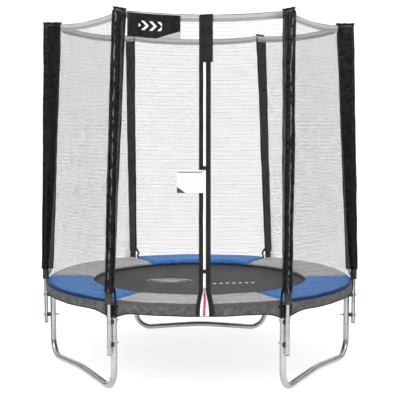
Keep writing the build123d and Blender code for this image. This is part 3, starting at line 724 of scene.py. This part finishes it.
# ---------------------------------------------------------------- pole sleeves
def sleeve_outline(reach):
    """Points of the tear-shaped section: (x, y, outward x, outward y, distance from the sewn edge)."""
    open_angle = math.acos((SLEEVE_ROUND - SLEEVE_EDGE) / reach)
    turn_back = math.pi - open_angle
    half = []
    for i in range(4):
        angle = math.pi - open_angle * i / 3
        half.append((-reach, SLEEVE_EDGE, angle))
    for i in range(1, 7):
        half.append((lerp(-reach, 0.0, i / 7), lerp(SLEEVE_EDGE, SLEEVE_ROUND, i / 7), turn_back))
    for i in range(15):
        half.append((0.0, SLEEVE_ROUND, turn_back * (1 - i / 14)))
    points = []
    edge = 0.0
    for centre, radius, angle in half:
        x = centre + radius * math.cos(angle)
        y = radius * math.sin(angle)
        if points:
            edge += math.hypot(x - points[-1][0], y - points[-1][1])
        points.append((x, y, math.cos(angle), math.sin(angle), edge))
    mirrored = [(x, -y, nx, -ny, edge) for x, y, nx, ny, edge in reversed(points[1:-1])]
    return points + mirrored


def sleeve_crumple(x, y, edge, height, seed):
    """How far the loose vinyl stands off the foam."""
    creases = ripple(edge * 42.0, height * 2.4, seed) * 0.0032
    folds = ripple(x * 26.0 + seed, y * 26.0, height * 11.0) * 0.0022
    sag = ripple(seed, y * 8.0, height * 4.0) * 0.0018
    return max(-0.0006, creases + folds + sag + SLEEVE_LOOSE)


def sleeve(index):
    angle = index * STEP
    heights = [lerp(SLEEVE_LOW, 2.186, i / 118) for i in range(119)]
    heights += [lerp(2.186, SLEEVE_HIGH, (i + 1) / 9) for i in range(9)]
    rings = []
    flat = []
    for height in heights:
        share = (height - SLEEVE_LOW) / (SLEEVE_HIGH - SLEEVE_LOW)
        outline = sleeve_outline(lerp(REACH_LOW, REACH_HIGH, share))
        pressed = lerp(1.0, 0.11, fade(height, 2.189, 2.209))
        spread = 0.004 * fade(height, 2.180, 2.209)
        ring = []
        for x, y, nx, ny, edge in outline:
            off = sleeve_crumple(x, y, edge, height, index * 7.3) * fade(SLEEVE_HIGH - height, 0.0, 0.05)
            px = x + nx * (off + spread)
            py = (y + ny * off) * pressed
            ring.append(pole_spot(angle, -px, py, height))
            flat.append((edge, height))
        rings.append(ring)
    piece = make("sleeve_%d" % (index + 1), [skin(rings, flat, low_cap=False)], paints["sleeve"],
                 nodes=["pole_sleeve_%d" % (index + 1)])
    thicken(piece, 0.0011, -1.0)


def sleeve_seams():
    """The flat sewn bar across the top of each sleeve."""
    bars = []
    for index in range(POLES):
        path = [pole_spot(index * STEP, lerp(-0.030, REACH_HIGH + 0.009, i / 12), 0.0,
                          SLEEVE_HIGH - 0.002 + 0.0012 * math.sin(i * 1.3 + index)) for i in range(13)]
        across = turn((0, 1, 0), index * STEP)
        bars.append(ribbon(path, 0.010, 0.009, across))
    make("sleeve_seams", bars, paints["webbing"])


# ---------------------------------------------------------------- net
def top_sag(share):
    """How far the net's top edge hangs between two poles."""
    return 0.0255 * 4 * share * (1 - share)


def net_spot(index, share, level):
    """A point of the net between pole index and the next; level is 0 at the hem and 1 at the top."""
    first = index * STEP
    height = lerp(NET_LOW, NET_HIGH, level)
    hem = spot(NET_R, first + STEP * lerp(0.001, 0.999, share), NET_LOW)
    top = pole_spot(first, NET_INSET, 0.0, NET_HIGH).lerp(
        pole_spot(first + STEP, NET_INSET, 0.0, NET_HIGH), share)
    point = hem.lerp(top, level)
    seam = lerp(0.024, lerp(REACH_LOW, REACH_HIGH, level) + 0.001, fade(height, NET_LOW, SLEEVE_LOW + 0.04))
    for pole, side, weight in ((first, 0.0, (1 - share) ** 10), (first + STEP, 1.0, share ** 10)):
        start = pole_spot(pole, NET_INSET, 0.0, NET_HIGH)
        bare = spot(NET_R, pole, NET_LOW).lerp(start, level)
        point += (pole_spot(pole, seam, 0.0, height) - bare) * weight
    point.z -= top_sag(share) * level ** 3
    return point


def net_point(index, share, level):
    """The net with its slack: broad waves, small crinkles and folds beside the sleeves."""
    point = net_spot(index, share, level)
    out = turn((math.cos(STEP / 2), math.sin(STEP / 2), 0), index * STEP)
    held = fade(level, 0.0, 0.06) * fade(1 - level, 0.0, 0.05)
    if index == DOOR_POLE:
        held *= fade(abs(point.x - DOOR_X), 0.035, 0.12)
    near = min(share, 1 - share)
    waves = ripple(point.x * 2.6, point.y * 2.6 + index, point.z * 2.2) * 0.007
    crinkles = ripple(point.x * 7.0, point.y * 7.0, point.z * 19.0) * 0.0009
    folds = math.sin(near * 420.0 + ripple(0.0, point.z * 3.0, index) * 3.0) * 0.005
    folds *= fade(0.11 - near, 0.0, 0.08) * fade(near, 0.0, 0.015)
    return point + out * ((waves + crinkles + folds) * held)


def slit_share(level, x):
    """Where along the door panel the net reaches a given x at a level."""
    low = 0.2
    high = 0.8
    for _ in range(24):
        middle = (low + high) / 2
        if net_spot(DOOR_POLE, middle, level).x < x:
            low = middle
        else:
            high = middle
    return low


def splay(along):
    """How far the tapes part below the slider."""
    share = min(1.0, max(0.0, -along / 0.135))
    return 0.0185 * share * (2 - share)


def net_sheet(name, index, columns, start_share, end_share, nodes):
    """One panel of netting between two shares of the gap, which may change with the level."""
    rows = 84
    rings = []
    flat = []
    for j in range(rows + 1):
        level = j / rows
        first = start_share(level)
        last = end_share(level)
        ring = [net_point(index, lerp(first, last, i / columns), level) for i in range(columns + 1)]
        long = (ring[-1] - ring[0]).length
        middle = (first + last) / 2 - 0.5
        flat += [((i / columns - 0.5) * long + middle * long, level * 1.626) for i in range(columns + 1)]
        rings.append(ring)
    paint = paints["net" if index in (1, DOOR_POLE) else "net_side"]
    piece = make(name, [skin(rings, flat, closed=False)], paint, nodes=nodes)
    return piece


def net():
    others = [index for index in range(POLES) if index != DOOR_POLE]
    for index in others:
        net_sheet("net_panel_%d" % (index + 1), index, 66, lambda level: 0.0, lambda level: 1.0,
                  ["net_wall"])

    def left_edge(level):
        height = lerp(NET_LOW, NET_HIGH, level)
        return slit_share(level, DOOR_X - 0.0085 - splay(door_along(height)) * 0.7)

    def right_edge(level):
        height = lerp(NET_LOW, NET_HIGH, level)
        return slit_share(level, DOOR_X + 0.0085 + splay(door_along(height)) * 0.7)

    net_sheet("net_door_left", DOOR_POLE, 36, lambda level: 0.0, left_edge, ["net_front_left"])
    net_sheet("net_door_right", DOOR_POLE, 30, right_edge, lambda level: 1.0, ["net_front_right"])


def band_path(index, drop, out):
    """A line along the net's top edge from one sleeve to the next."""
    outward = turn((math.cos(STEP / 2), math.sin(STEP / 2), 0), index * STEP)
    path = []
    for i in range(41):
        share = i / 40
        first = pole_spot(index * STEP, REACH_HIGH + 0.003, 0.0, BAND_HIGH)
        last = pole_spot((index + 1) * STEP, REACH_HIGH + 0.003, 0.0, BAND_HIGH)
        wave = ripple(share * 9.0, index * 3.1, drop * 40.0) * 0.0025
        point = first.lerp(last, share) + outward * (out + wave)
        middle = pole_spot(index * STEP, NET_INSET, 0.0, BAND_HIGH).lerp(
            pole_spot((index + 1) * STEP, NET_INSET, 0.0, BAND_HIGH), share)
        point = point.lerp(middle + outward * (out + wave), fade(min(share, 1 - share), 0.0, 0.10))
        point.z -= drop + top_sag(share)
        path.append(point)
    return path


def net_bands():
    """The hem and its bound edge along the top of the net."""
    width = 0.040
    strips = [ribbon(band_path(index, width / 2, 0.001), width, 0.0016, UP, columns=8)
              for index in range(POLES)]
    piece = make("net_top_hem", strips, paints["band"], nodes=["net_top_band"])
    cords = [bar(band_path(index, 0.0, 0.001), 0.0018, 6) for index in range(POLES)]
    make("net_top_binding", cords, paints["binding"])


# ---------------------------------------------------------------- skirt
def skirt_bottom(angle):
    """Height of the skirt's elastic edge: highest between the poles, drawn down at each."""
    off = (angle + STEP / 2) % STEP - STEP / 2
    dip = math.exp(-(off / 0.075) ** 2)
    wave = ripple(math.cos(angle) * 5.0, math.sin(angle) * 5.0, 2.0)
    return SKIRT_LOW + 0.003 - 0.034 * dip + 0.005 * wave


def skirt_point(angle, level):
    low = skirt_bottom(angle)
    off = abs((angle + STEP / 2) % STEP - STEP / 2)
    height = lerp(low, NET_LOW - 0.017, level)
    loose = fade(off, 0.03, 0.10) * fade(1 - level, 0.0, 0.35)
    gather = math.sin(angle * 150.0 + 3.0 * ripple(math.cos(angle) * 6.0, math.sin(angle) * 6.0, 0.5))
    slack = ripple(math.cos(angle) * 16.0, math.sin(angle) * 16.0, height * 30.0)
    if abs(angle - (DOOR_POLE * STEP + STEP / 2)) < 0.06:
        loose *= 0.3
    radius = NET_R + loose * (0.0012 * gather * (1 - level) + 0.0022 * (slack + 0.5))
    radius -= 0.004 * fade(RING_Z - TUBE_R - height, 0.0, 0.03) * (1 - loose)
    return spot(radius, angle, height)


def skirt():
    """The mesh below the net, its elastic and the net's lower hem."""
    columns = 720
    levels = 12
    rings = []
    flat = []
    for j in range(levels + 1):
        ring = [skirt_point(2 * math.pi * i / columns, j / levels) for i in range(columns)]
        flat += [(NET_R * 2 * math.pi * min(i, columns - i) / columns, j / levels * 0.064)
                 for i in range(columns)]
        rings.append(ring)
    piece = make("skirt", [skin(rings, flat, low_cap=False, high_cap=False)], paints["skirt"],
                 nodes=["net_skirt"])
    thicken(piece, 0.0008, -1.0)
    edge = [skirt_point(2 * math.pi * i / columns, 0.0) for i in range(columns)]
    hem = [skirt_point(2 * math.pi * i / columns, 1.0) + UP * 0.001 for i in range(0, columns, 2)]
    make("skirt_elastic", [bar(edge, 0.0022, 6, loop=True)], paints["webbing"])
    make("net_bottom_hem", [bar(hem, 0.0014, 6, loop=True)], paints["binding"])


def corner_patches():
    """Black reinforcing triangles where the skirt is drawn down at each pole."""
    shapes = []
    for index in range(POLES):
        rings = []
        flat = []
        for j in range(9):
            level = j / 8
            half = lerp(0.006, 0.052, level)
            ring = []
            for i in range(13):
                side = lerp(-half, half, i / 12)
                low = skirt_bottom(index * STEP + side / NET_R)
                ring.append(spot(NET_R + 0.0013, index * STEP + side / NET_R,
                                 lerp(low - 0.002, 0.521, level)))
                flat.append((side, level * 0.07))
            rings.append(ring)
        shapes.append(skin(rings, flat, closed=False))
    piece = make("skirt_corners", shapes, paints["webbing"])
    thicken(piece, 0.0008, 1.0)


def straps():
    """The webbing straps that run from each sleeve down between pole and leg."""
    shapes = []
    for index in range(POLES):
        bow = 0.022 if index in (1, 2) else 0.0
        for side in (-1, 1):
            points = [pole_spot(index * STEP, inward, side * sideways, height)
                      for inward, sideways, height in (
                          (0.040, 0.008, 0.615), (0.032 + bow, 0.020, 0.582), (0.0215, 0.029, 0.556),
                          (0.0190, 0.0320, 0.520), (0.0190, 0.0315, 0.470), (0.0205, 0.024, 0.446))]
            path = smooth_path(points, 26)
            shapes.append(ribbon(path, 0.016, 0.0018, turn((0.15, side, 0), index * STEP)))
    make("pole_ties", shapes, paints["webbing"], nodes=["pole_straps"])


# ---------------------------------------------------------------- pads
def pad_section(rows):
    """The pad's section as a closed loop: (radius, height, flat distance from the inner edge)."""
    low = PAD_LOW.z
    high = PAD_HIGH.z
    side = 0.006
    points = []
    for i in range(rows + 1):
        share = i / rows
        crown = 0.012 * fade(share, 0.0, 0.10) * fade(1 - share, 0.0, 0.05)
        points.append((lerp(PAD_INNER + side / 2, PAD_OUTER - side / 3, share),
                       high - 0.003 + crown, (PAD_OUTER - PAD_INNER) * share))
    for i in range(1, 5):
        share = i / 5
        bulge = 0.0016 * math.sin(math.pi * share)
        points.append((PAD_OUTER - side / 3 + bulge, lerp(high - 0.003, low, share),
                       PAD_OUTER - PAD_INNER + 0.018 * share))
    for i in range(9):
        share = i / 8
        points.append((lerp(PAD_OUTER - side / 2, PAD_INNER + side / 2, share), low,
                       (PAD_OUTER - PAD_INNER) * (1 - share) - 0.006))
    for i in range(1, 4):
        share = i / 4
        bulge = 0.003 * math.sin(math.pi * share)
        points.append((PAD_INNER + side / 2 - bulge, lerp(low, high - 0.003, share), -0.004))
    return points


def pad_sector(middle, seed):
    """One sixth of the pad: a thin stuffed form, drawn in at its seams, with crinkled cloth."""
    columns = 72
    half = STEP / 2 - 0.0006
    section = pad_section(40)
    rings = []
    flat = []
    for i in range(columns + 1):
        angle = middle + lerp(-half, half, i / columns)
        to_seam = (half - abs(angle - middle)) * PAD_OUTER
        full = lerp(0.35, 1.0, fade(to_seam, 0.0, 0.035))
        ring = []
        for radius, height, edge in section:
            top = fade(height, PAD_LOW.z + 0.012, PAD_HIGH.z)
            x = radius * math.cos(angle)
            y = radius * math.sin(angle)
            crinkle = ripple(x * 7.0, y * 7.0, seed) * 0.0030
            lines = ripple((radius - PAD_INNER) * 34.0, (angle - middle) * 5.0, seed + 4.0) * 0.0028
            small = ripple(x * 40.0, y * 40.0, seed + 9.0) * 0.0011
            near_seam = 1 - fade(to_seam, 0.0, 0.05)
            seam_pull = ripple((radius - PAD_INNER) * 60.0, 0.0, seed) * 0.0025 * near_seam
            rise = (height - PAD_LOW.z) * full + PAD_LOW.z
            ring.append(spot(radius, angle, rise + top * full * (crinkle + lines + small + seam_pull)))
            flat.append((edge, (angle - middle) * radius))
        rings.append(ring)
    return skin(rings, flat)


def pads():
    for colour, first in (("blue", -STEP / 2), ("grey", STEP / 2)):
        for number in range(3):
            middle = first + number * 2 * STEP
            shape = pad_sector(middle, number * 5.1 + len(colour))
            piece = make("pad_%s_%d" % (colour, number + 1), [shape], paints["pad_" + colour],
                         nodes=["pad_" + colour])
    shapes = []
    for index in range(POLES):
        path = [spot(lerp(PAD_INNER + 0.002, PAD_OUTER - 0.002, i / 24), index * STEP,
                     PAD_HIGH.z - 0.0085 + 0.0006 * math.sin(i * 1.7)) for i in range(25)]
        shapes.append(bar(path, 0.0012, 6))
    make("pad_seams", shapes, paints["binding"])


# ---------------------------------------------------------------- mat, hem and springs
def mat():
    """The jumping mat, which hangs 3 mm at its middle."""
    columns = 180
    rings = []
    flat = []
    for top in (1, -1):
        for i in range(34):
            share = i / 33 if top > 0 else 1 - i / 33
            radius = lerp(0.004, MAT_R - (0.0 if 0 < i < 33 else 0.0008), math.sqrt(share))
            ring = []
            for j in range(columns):
                angle = 2 * math.pi * j / columns
                x = radius * math.cos(angle)
                y = radius * math.sin(angle)
                slack = ripple(x * 4.0, y * 4.0, 1.0) * 0.0008 * fade(MAT_R - radius, 0.0, 0.1)
                height = MAT_MID + top * 0.0014 + slack - 0.003 * (1 - (radius / MAT_R) ** 2)
                ring.append(Vector((x, y, height)))
                flat.append((x, y))
            rings.append(ring)
    piece = make("mat", [skin(rings, flat)], paints["mat"], body="mat", nodes=["jump_mat"])


def mat_print():
    """Plain printed marks on the mat: three bouncing arcs and a row of dots."""
    shapes = []
    high = MAT_MID + 0.0004
    angles = [math.pi * (0.08 + 0.84 * i / 30) for i in range(31)]
    for number in range(3):
        size = lerp(0.16, 0.07, number / 2)
        centre = Vector((-0.20, -0.03 - 0.03 * number, high))
        path = [centre + Vector((size * math.cos(a), size * 0.55 * math.sin(a), 0)) for a in angles]
        width = [0.004 + 0.016 * math.sin(math.pi * i / 30) for i in range(31)]
        shapes.append(ribbon(path, width, 0.0006, [spot(1.0, a, 0.0) for a in angles]))
    for number in range(7):
        centre = Vector((0.10 + 0.042 * number, -0.115 + 0.006 * number, high))
        path = [centre + Vector((lerp(-0.012, 0.012, i / 8), 0, 0)) for i in range(9)]
        width = [0.003 + 0.030 * math.sqrt(max(0.0, 1 - (i / 4 - 1) ** 2)) for i in range(9)]
        shapes.append(ribbon(path, width, 0.0006, Vector((0, 1, 0))))
    make("mat_marks", shapes, paints["print"], body="mat")


def mat_hem():
    """Webbing sewn under the mat's edge, with a folded loop for each V-ring."""
    columns = 144
    hem_width = 0.025
    path = [spot(MAT_R - hem_width / 2, 2 * math.pi * i / columns, MAT_LOW.z - 0.0012)
            for i in range(columns)]
    across = [spot(1.0, 2 * math.pi * i / columns, 0.0) for i in range(columns)]
    shapes = [ribbon(path, hem_width, 0.0022, across, loop=True)]
    bar_r = 0.7945
    for number in range(SPRINGS):
        angle = (number + 0.5) * SPRING_STEP
        section = [(0.768, MAT_LOW.z - 0.003), (0.786, MAT_LOW.z - 0.0032), (bar_r, MAT_MID - 0.0042),
                   (bar_r + 0.0040, MAT_MID - 0.0012), (bar_r + 0.0040, MAT_MID + 0.0018),
                   (bar_r, MAT_MID + 0.0040), (0.786, MAT_MID + 0.0030), (0.770, MAT_MID + 0.0026)]
        points = smooth_path([spot(radius, angle, height) for radius, height in section], 22)
        shapes.append(ribbon(points, 0.020, 0.0014, turn((0, 1, 0), angle)))
    make("mat_hem", shapes, paints["webbing"], body="mat", nodes=["mat_webbing"])


def spring_path():
    """A spring's wire beside the +X axis, from the V-ring's hook to the hook in the ring tube."""
    inner = [Vector(p) for p in ((0.8225, 0, 0.5108), (0.8150, 0, 0.5112), (0.8130, 0, 0.5150),
                                 (0.8150, 0, 0.5188), (0.8225, 0, 0.5192), (0.8330, 0, 0.5165))]
    outer = [Vector(p) for p in ((0.9470, 0, 0.5160), (0.9553, 0, 0.5158), (0.9654, 0, 0.5089),
                                 (0.9730, 0, 0.5036), (0.9735, 0, 0.4970), (0.9700, 0, 0.4930))]
    turns = 22
    per_turn = 11
    coil = []
    for i in range(turns * per_turn + 1):
        along = i / (turns * per_turn)
        radius = 0.0085 * fade(along, 0.0, 0.9 / turns) * fade(1 - along, 0.0, 0.9 / turns)
        angle = 2 * math.pi * i / per_turn
        coil.append(Vector((lerp(0.838, 0.942, along), radius * math.sin(angle),
                            0.516 + radius * math.cos(angle))))
    return smooth_path(inner, 20) + coil + smooth_path(outer, 16)


def springs():
    """The coil springs between the ring and the mat."""
    path = spring_path()
    for number in range(SPRINGS):
        angle = (number + 0.5) * SPRING_STEP
        piece = make("spring_%02d" % (number + 1), [bar([turn(p, angle) for p in path], 0.0015, 6)],
                     paints["wire"], body=None, nodes=["springs"])
        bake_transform(piece)


# ---------------------------------------------------------------- door
def tape(side, width):
    """One edging tape, which turns out in a curve below the slider."""
    low = door_along(0.480)
    high = door_along(NET_HIGH)
    middle = DOOR_X + side * (TAPE_INNER + width / 2)
    path = []
    for i in range(101):
        along = lerp(low, high, (i / 100) ** 1.25)
        wave = 0.0006 * ripple(side * 5.0, along * 9.0, 3.0)
        path.append(door_spot(middle + side * splay(along) + wave, along, wave))
    return ribbon(path, width, 0.0016, RIGHT, columns=8)


def door():
    """The two edging tapes and the flap over the zip's top."""
    tapes = make("door_edging", [tape(-1, 0.0247), tape(1, 0.0287)], paints["tape"],
                 nodes=["door_tapes"])

    low = door_along(1.908)
    high = door_along(2.180)
    path = [door_spot(0.045 + 0.0015 * ripple(i * 0.3, 0.0, 2.0), lerp(low, high, i / 30),
                      0.0024 + 0.0008 * ripple(i * 0.5, 1.0, 0.0)) for i in range(31)]
    strip = make("door_top_patch", [ribbon(path, 0.076, 0.0015, RIGHT, columns=10)],
                 paints["patch"], nodes=["door_top_strip"])


def zip_teeth():
    """The coil: white cloth beside it, and interlocking teeth that part below the slider."""
    shapes = []
    low = door_along(0.484)
    high = door_along(1.93)
    pitch = 0.0036
    for side in (-1, 1):
        path = []
        width = []
        for i in range(71):
            along = lerp(low, high, (i / 70) ** 1.3)
            spare = 0.4 * splay(along)
            path.append(door_spot(DOOR_X + side * (0.0045 + splay(along) - spare), along, -0.0004))
            width.append(0.0078 + 2 * spare)
        shapes.append(ribbon(path, width, 0.0008, RIGHT, columns=4))
        for i in range(int((high - low) / pitch)):
            along = low + (i + 0.25 * (side + 1)) * pitch
            open_gap = splay(along)
            x = DOOR_X + side * (0.0016 + open_gap)
            slope = side * (splay(along - 0.001) - splay(along + 0.001)) / 0.002
            run = (DOOR_RUN + Vector((-slope, 0, 0))).normalized()
            cross = run.cross(DOOR_OUT).normalized()
            shapes.append(block(door_spot(x, along, 0.0002), cross * 0.0021, run * 0.00075,
                                DOOR_OUT * 0.0009))
    make("zip_coil", shapes, paints["zip"], nodes=["zip_chain"])


def zip_handle():
    """The slider's pin and metal eye, and the red ribbon looped through it."""
    pin = door_spot(DOOR_X, 0.0055, 0.0047)
    metal = [bar([pin + RIGHT * reach for reach in (-0.005, -0.002, 0.002, 0.005)], 0.0012, 12)]
    eye = []
    for i in range(24):
        angle = 2 * math.pi * i / 24
        eye.append(pin + RIGHT * (0.0021 * math.sin(angle)) - DOOR_RUN * (0.0062 - 0.0062 * math.cos(angle)))
    metal.append(ribbon(eye + [eye[0]], 0.0012, 0.0012, DOOR_OUT, columns=4))
    make("pull_eye", metal, paints["zinc"], body="zip_pull", nodes=["zip_pull"])
    path = []
    width = []
    across = []
    for i in range(34):
        share = i / 33
        along = lerp(0.0005, -0.1465 + 0.006, share) - 0.006
        wave = 0.0016 * math.sin(share * 9.0) * fade(share, 0.02, 0.3)
        sway = 0.0018 * math.sin(share * 5.0)
        path.append(door_spot(DOOR_X + sway, along + 0.0055, 0.0047 + wave + 0.001 * share))
        width.append(lerp(0.0045, 0.0185, fade(share, 0.0, 0.16)))
        twist = 0.35 * math.sin(share * 6.0)
        across.append(Vector((math.cos(twist), -math.sin(twist), 0)))
    make("pull_ribbon", [ribbon(path, width, 0.0014, across, columns=8)], paints["pull"], body="zip_pull")


def tab(name, height):
    """A webbing tab sewn at its right end, arched over the zip."""
    base = 0.00175
    points = [(0.004, 0.0), (0.012, 0.0002), (0.019, 0.0012), (0.0255, 0.0060), (0.0355, 0.0066),
              (0.0455, 0.0060), (0.052, 0.0012), (0.059, 0.0002), (0.066, 0.0)]
    along = door_along(height)
    path = smooth_path([door_spot(x, along, base + out) for x, out in points], 40)
    make(name + "_webbing", [ribbon(path, 0.020, 0.0012, DOOR_RUN, columns=6)],
         paints["webbing"], body=name, nodes=[name])


def card():
    """The instruction card, a little bowed."""
    columns = 24
    rows = 20
    rings = []
    flat = []
    for j in range(rows + 1):
        ring = []
        for i in range(columns + 1):
            u = i / columns
            v = j / rows
            bow = 0.0016 * math.sin(math.pi * u) + 0.0012 * u * v
            ring.append(door_spot(lerp(-0.120, 0.028, u), door_along(lerp(1.172, 1.300, v)), 0.0016 + bow))
            flat.append(((u - 0.5) * 0.148, (v - 0.5) * 0.128))
        rings.append(ring)
    piece = make("hang_card", [skin(rings, flat, closed=False)], paints["card"],
                 nodes=["instruction_card"])
    thicken(piece, 0.0006, 1.0)
    corners = [bar([door_spot(x, door_along(z), 0.0034 + 0.0004 * math.sin(k)) for k in range(2)]
                   + [door_spot(x, door_along(z) + 0.004, 0.0030)], 0.0012, 6)
               for x, z in ((-0.114, 1.292), (0.022, 1.292), (-0.114, 1.178), (0.022, 1.178))]
    make("card_ties", corners, paints["plastic"])


def banner():
    """The black patch sewn along the band, left of the door."""
    columns = 40
    rows = 18
    low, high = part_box("banner")
    normal = spot(1.0, STEP * DOOR_POLE + STEP / 2, 0.0)
    first = pole_spot(DOOR_POLE * STEP, NET_INSET, 0.0, NET_HIGH)
    last = pole_spot((DOOR_POLE + 1) * STEP, NET_INSET, 0.0, NET_HIGH)
    rings = []
    flat = []
    for j in range(rows + 1):
        ring = []
        for i in range(columns + 1):
            u = i / columns
            v = j / rows
            x = lerp(low.x, high.x, u)
            share = (x - first.x) / (last.x - first.x)
            height = lerp(low.z, high.z, v)
            y = lerp(first.y, last.y, share) - (NET_HIGH - height) * DOOR_RUN.y / DOOR_RUN.z
            crease = 0.0028 * ripple(x * 16.0, height * 12.0, 5.0)
            crease += 0.0015 * ripple(x * 40.0, height * 30.0, 1.0)
            droop = top_sag(share) + 0.004 * (1 - v) * ripple(x * 9.0, 0.0, 8.0)
            ring.append(Vector((x, y, height - droop)) + normal * (0.008 + crease))
            flat.append(((u - 0.5) * 0.30, (v - 0.5) * 0.136))
        rings.append(ring)
    piece = make("banner_patch", [skin(rings, flat, closed=False)], paints["banner"],
                 nodes=["banner"])
    thicken(piece, 0.0010, 1.0)


# ---------------------------------------------------------------- small metalwork
def welds():
    """The lumpy bead that joins each leg socket to the ring tube."""
    shapes = []
    for index in range(POLES):
        path = []
        size = []
        for i in range(56):
            angle = 2 * math.pi * i / 56
            x = (SOCKET_R - 0.001) * math.cos(angle)
            y = (SOCKET_R - 0.001) * math.sin(angle)
            side = min(TUBE_R, abs(x))
            height = RING_Z - math.sqrt(TUBE_R ** 2 - side ** 2)
            path.append(turn((RING_R + x, y, max(height, RING_Z - 0.0175)), index * STEP))
            size.append(0.0019 + 0.0005 * math.sin(i * 2.4) + 0.0003 * ripple(i * 0.7, index, 0))
        shapes.append(bar(path, size, 8, loop=True))
    make("weld_beads", shapes, paints["weld"])


def dress_frame():
    """Materials for the CAD nodes that keep their own shape."""
    kinds = {
        "steel": ("top_rail", "leg_upright", "leg_base", "pole_lower", "pole_upper"),
        "bolt": ("pole_bolts",),
        "zinc": ("pole_nuts", "zip_slider"),
        "wire": ("mat_rings",),
        "plastic": ("pole_spacers", "pole_caps"),
        "foam": ("pole_foam",),
    }
    for node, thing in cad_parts.items():
        for kind, starts in kinds.items():
            if node.startswith(starts):
                thing.data.materials.clear()
                thing.data.materials.append(paints[kind])


# ---------------------------------------------------------------- build it
paints = {
    "steel": steel(),
    "weld": zinc("weld_zinc"),
    "zinc": zinc("zinc_hardware"),
    "bolt": zinc("zinc_bolts", threaded=True),
    "wire": zinc("zinc_wire"),
    "plastic": plastic(),
    "foam": foam(),
    "sleeve": sleeve_vinyl(),
    "webbing": webbing(),
    "binding": webbing("net_binding", 0.12),
    "mat": mat_weave(),
    "print": print_white(),
    # The third colour of each pad is the painted shade on its outer side.
    "pad_blue": pad_vinyl("pad_blue_vinyl", (0.006, 0.095, 0.33), (0.035, 0.20, 0.54), (0.003, 0.022, 0.11)),
    "pad_grey": pad_vinyl("pad_grey_vinyl", (0.27, 0.265, 0.26), (0.47, 0.465, 0.46), (0.09, 0.09, 0.09)),
    "net": net_mesh("net_mesh", 0.00018, (1.0, 1.0, 3.0), 0.5),
    "net_side": net_mesh("net_mesh_side", 0.00036, (2.6, 2.6, 0.9), 3.5),
    "band": net_band(0.80, 0.72),
    "skirt": skirt_mesh(),
    "tape": satin("door_tape", 0.009, 0.0130),
    "patch": satin("door_satin", 0.011, 0.038),
    "zip": zip_white(),
    "pull": pull_cloth(),
    "card": card_print(),
    "banner": banner_print(),
}

stage_and_light()
dress_frame()
for pole in range(POLES):
    sleeve(pole)
sleeve_seams()
net()
net_bands()
skirt()
corner_patches()
straps()
pads()
mat()
mat_print()
mat_hem()
springs()
door()
zip_teeth()
zip_handle()
tab("door_tab_upper", 1.3115)
tab("door_tab_lower", 0.7335)
card()
banner()
welds()
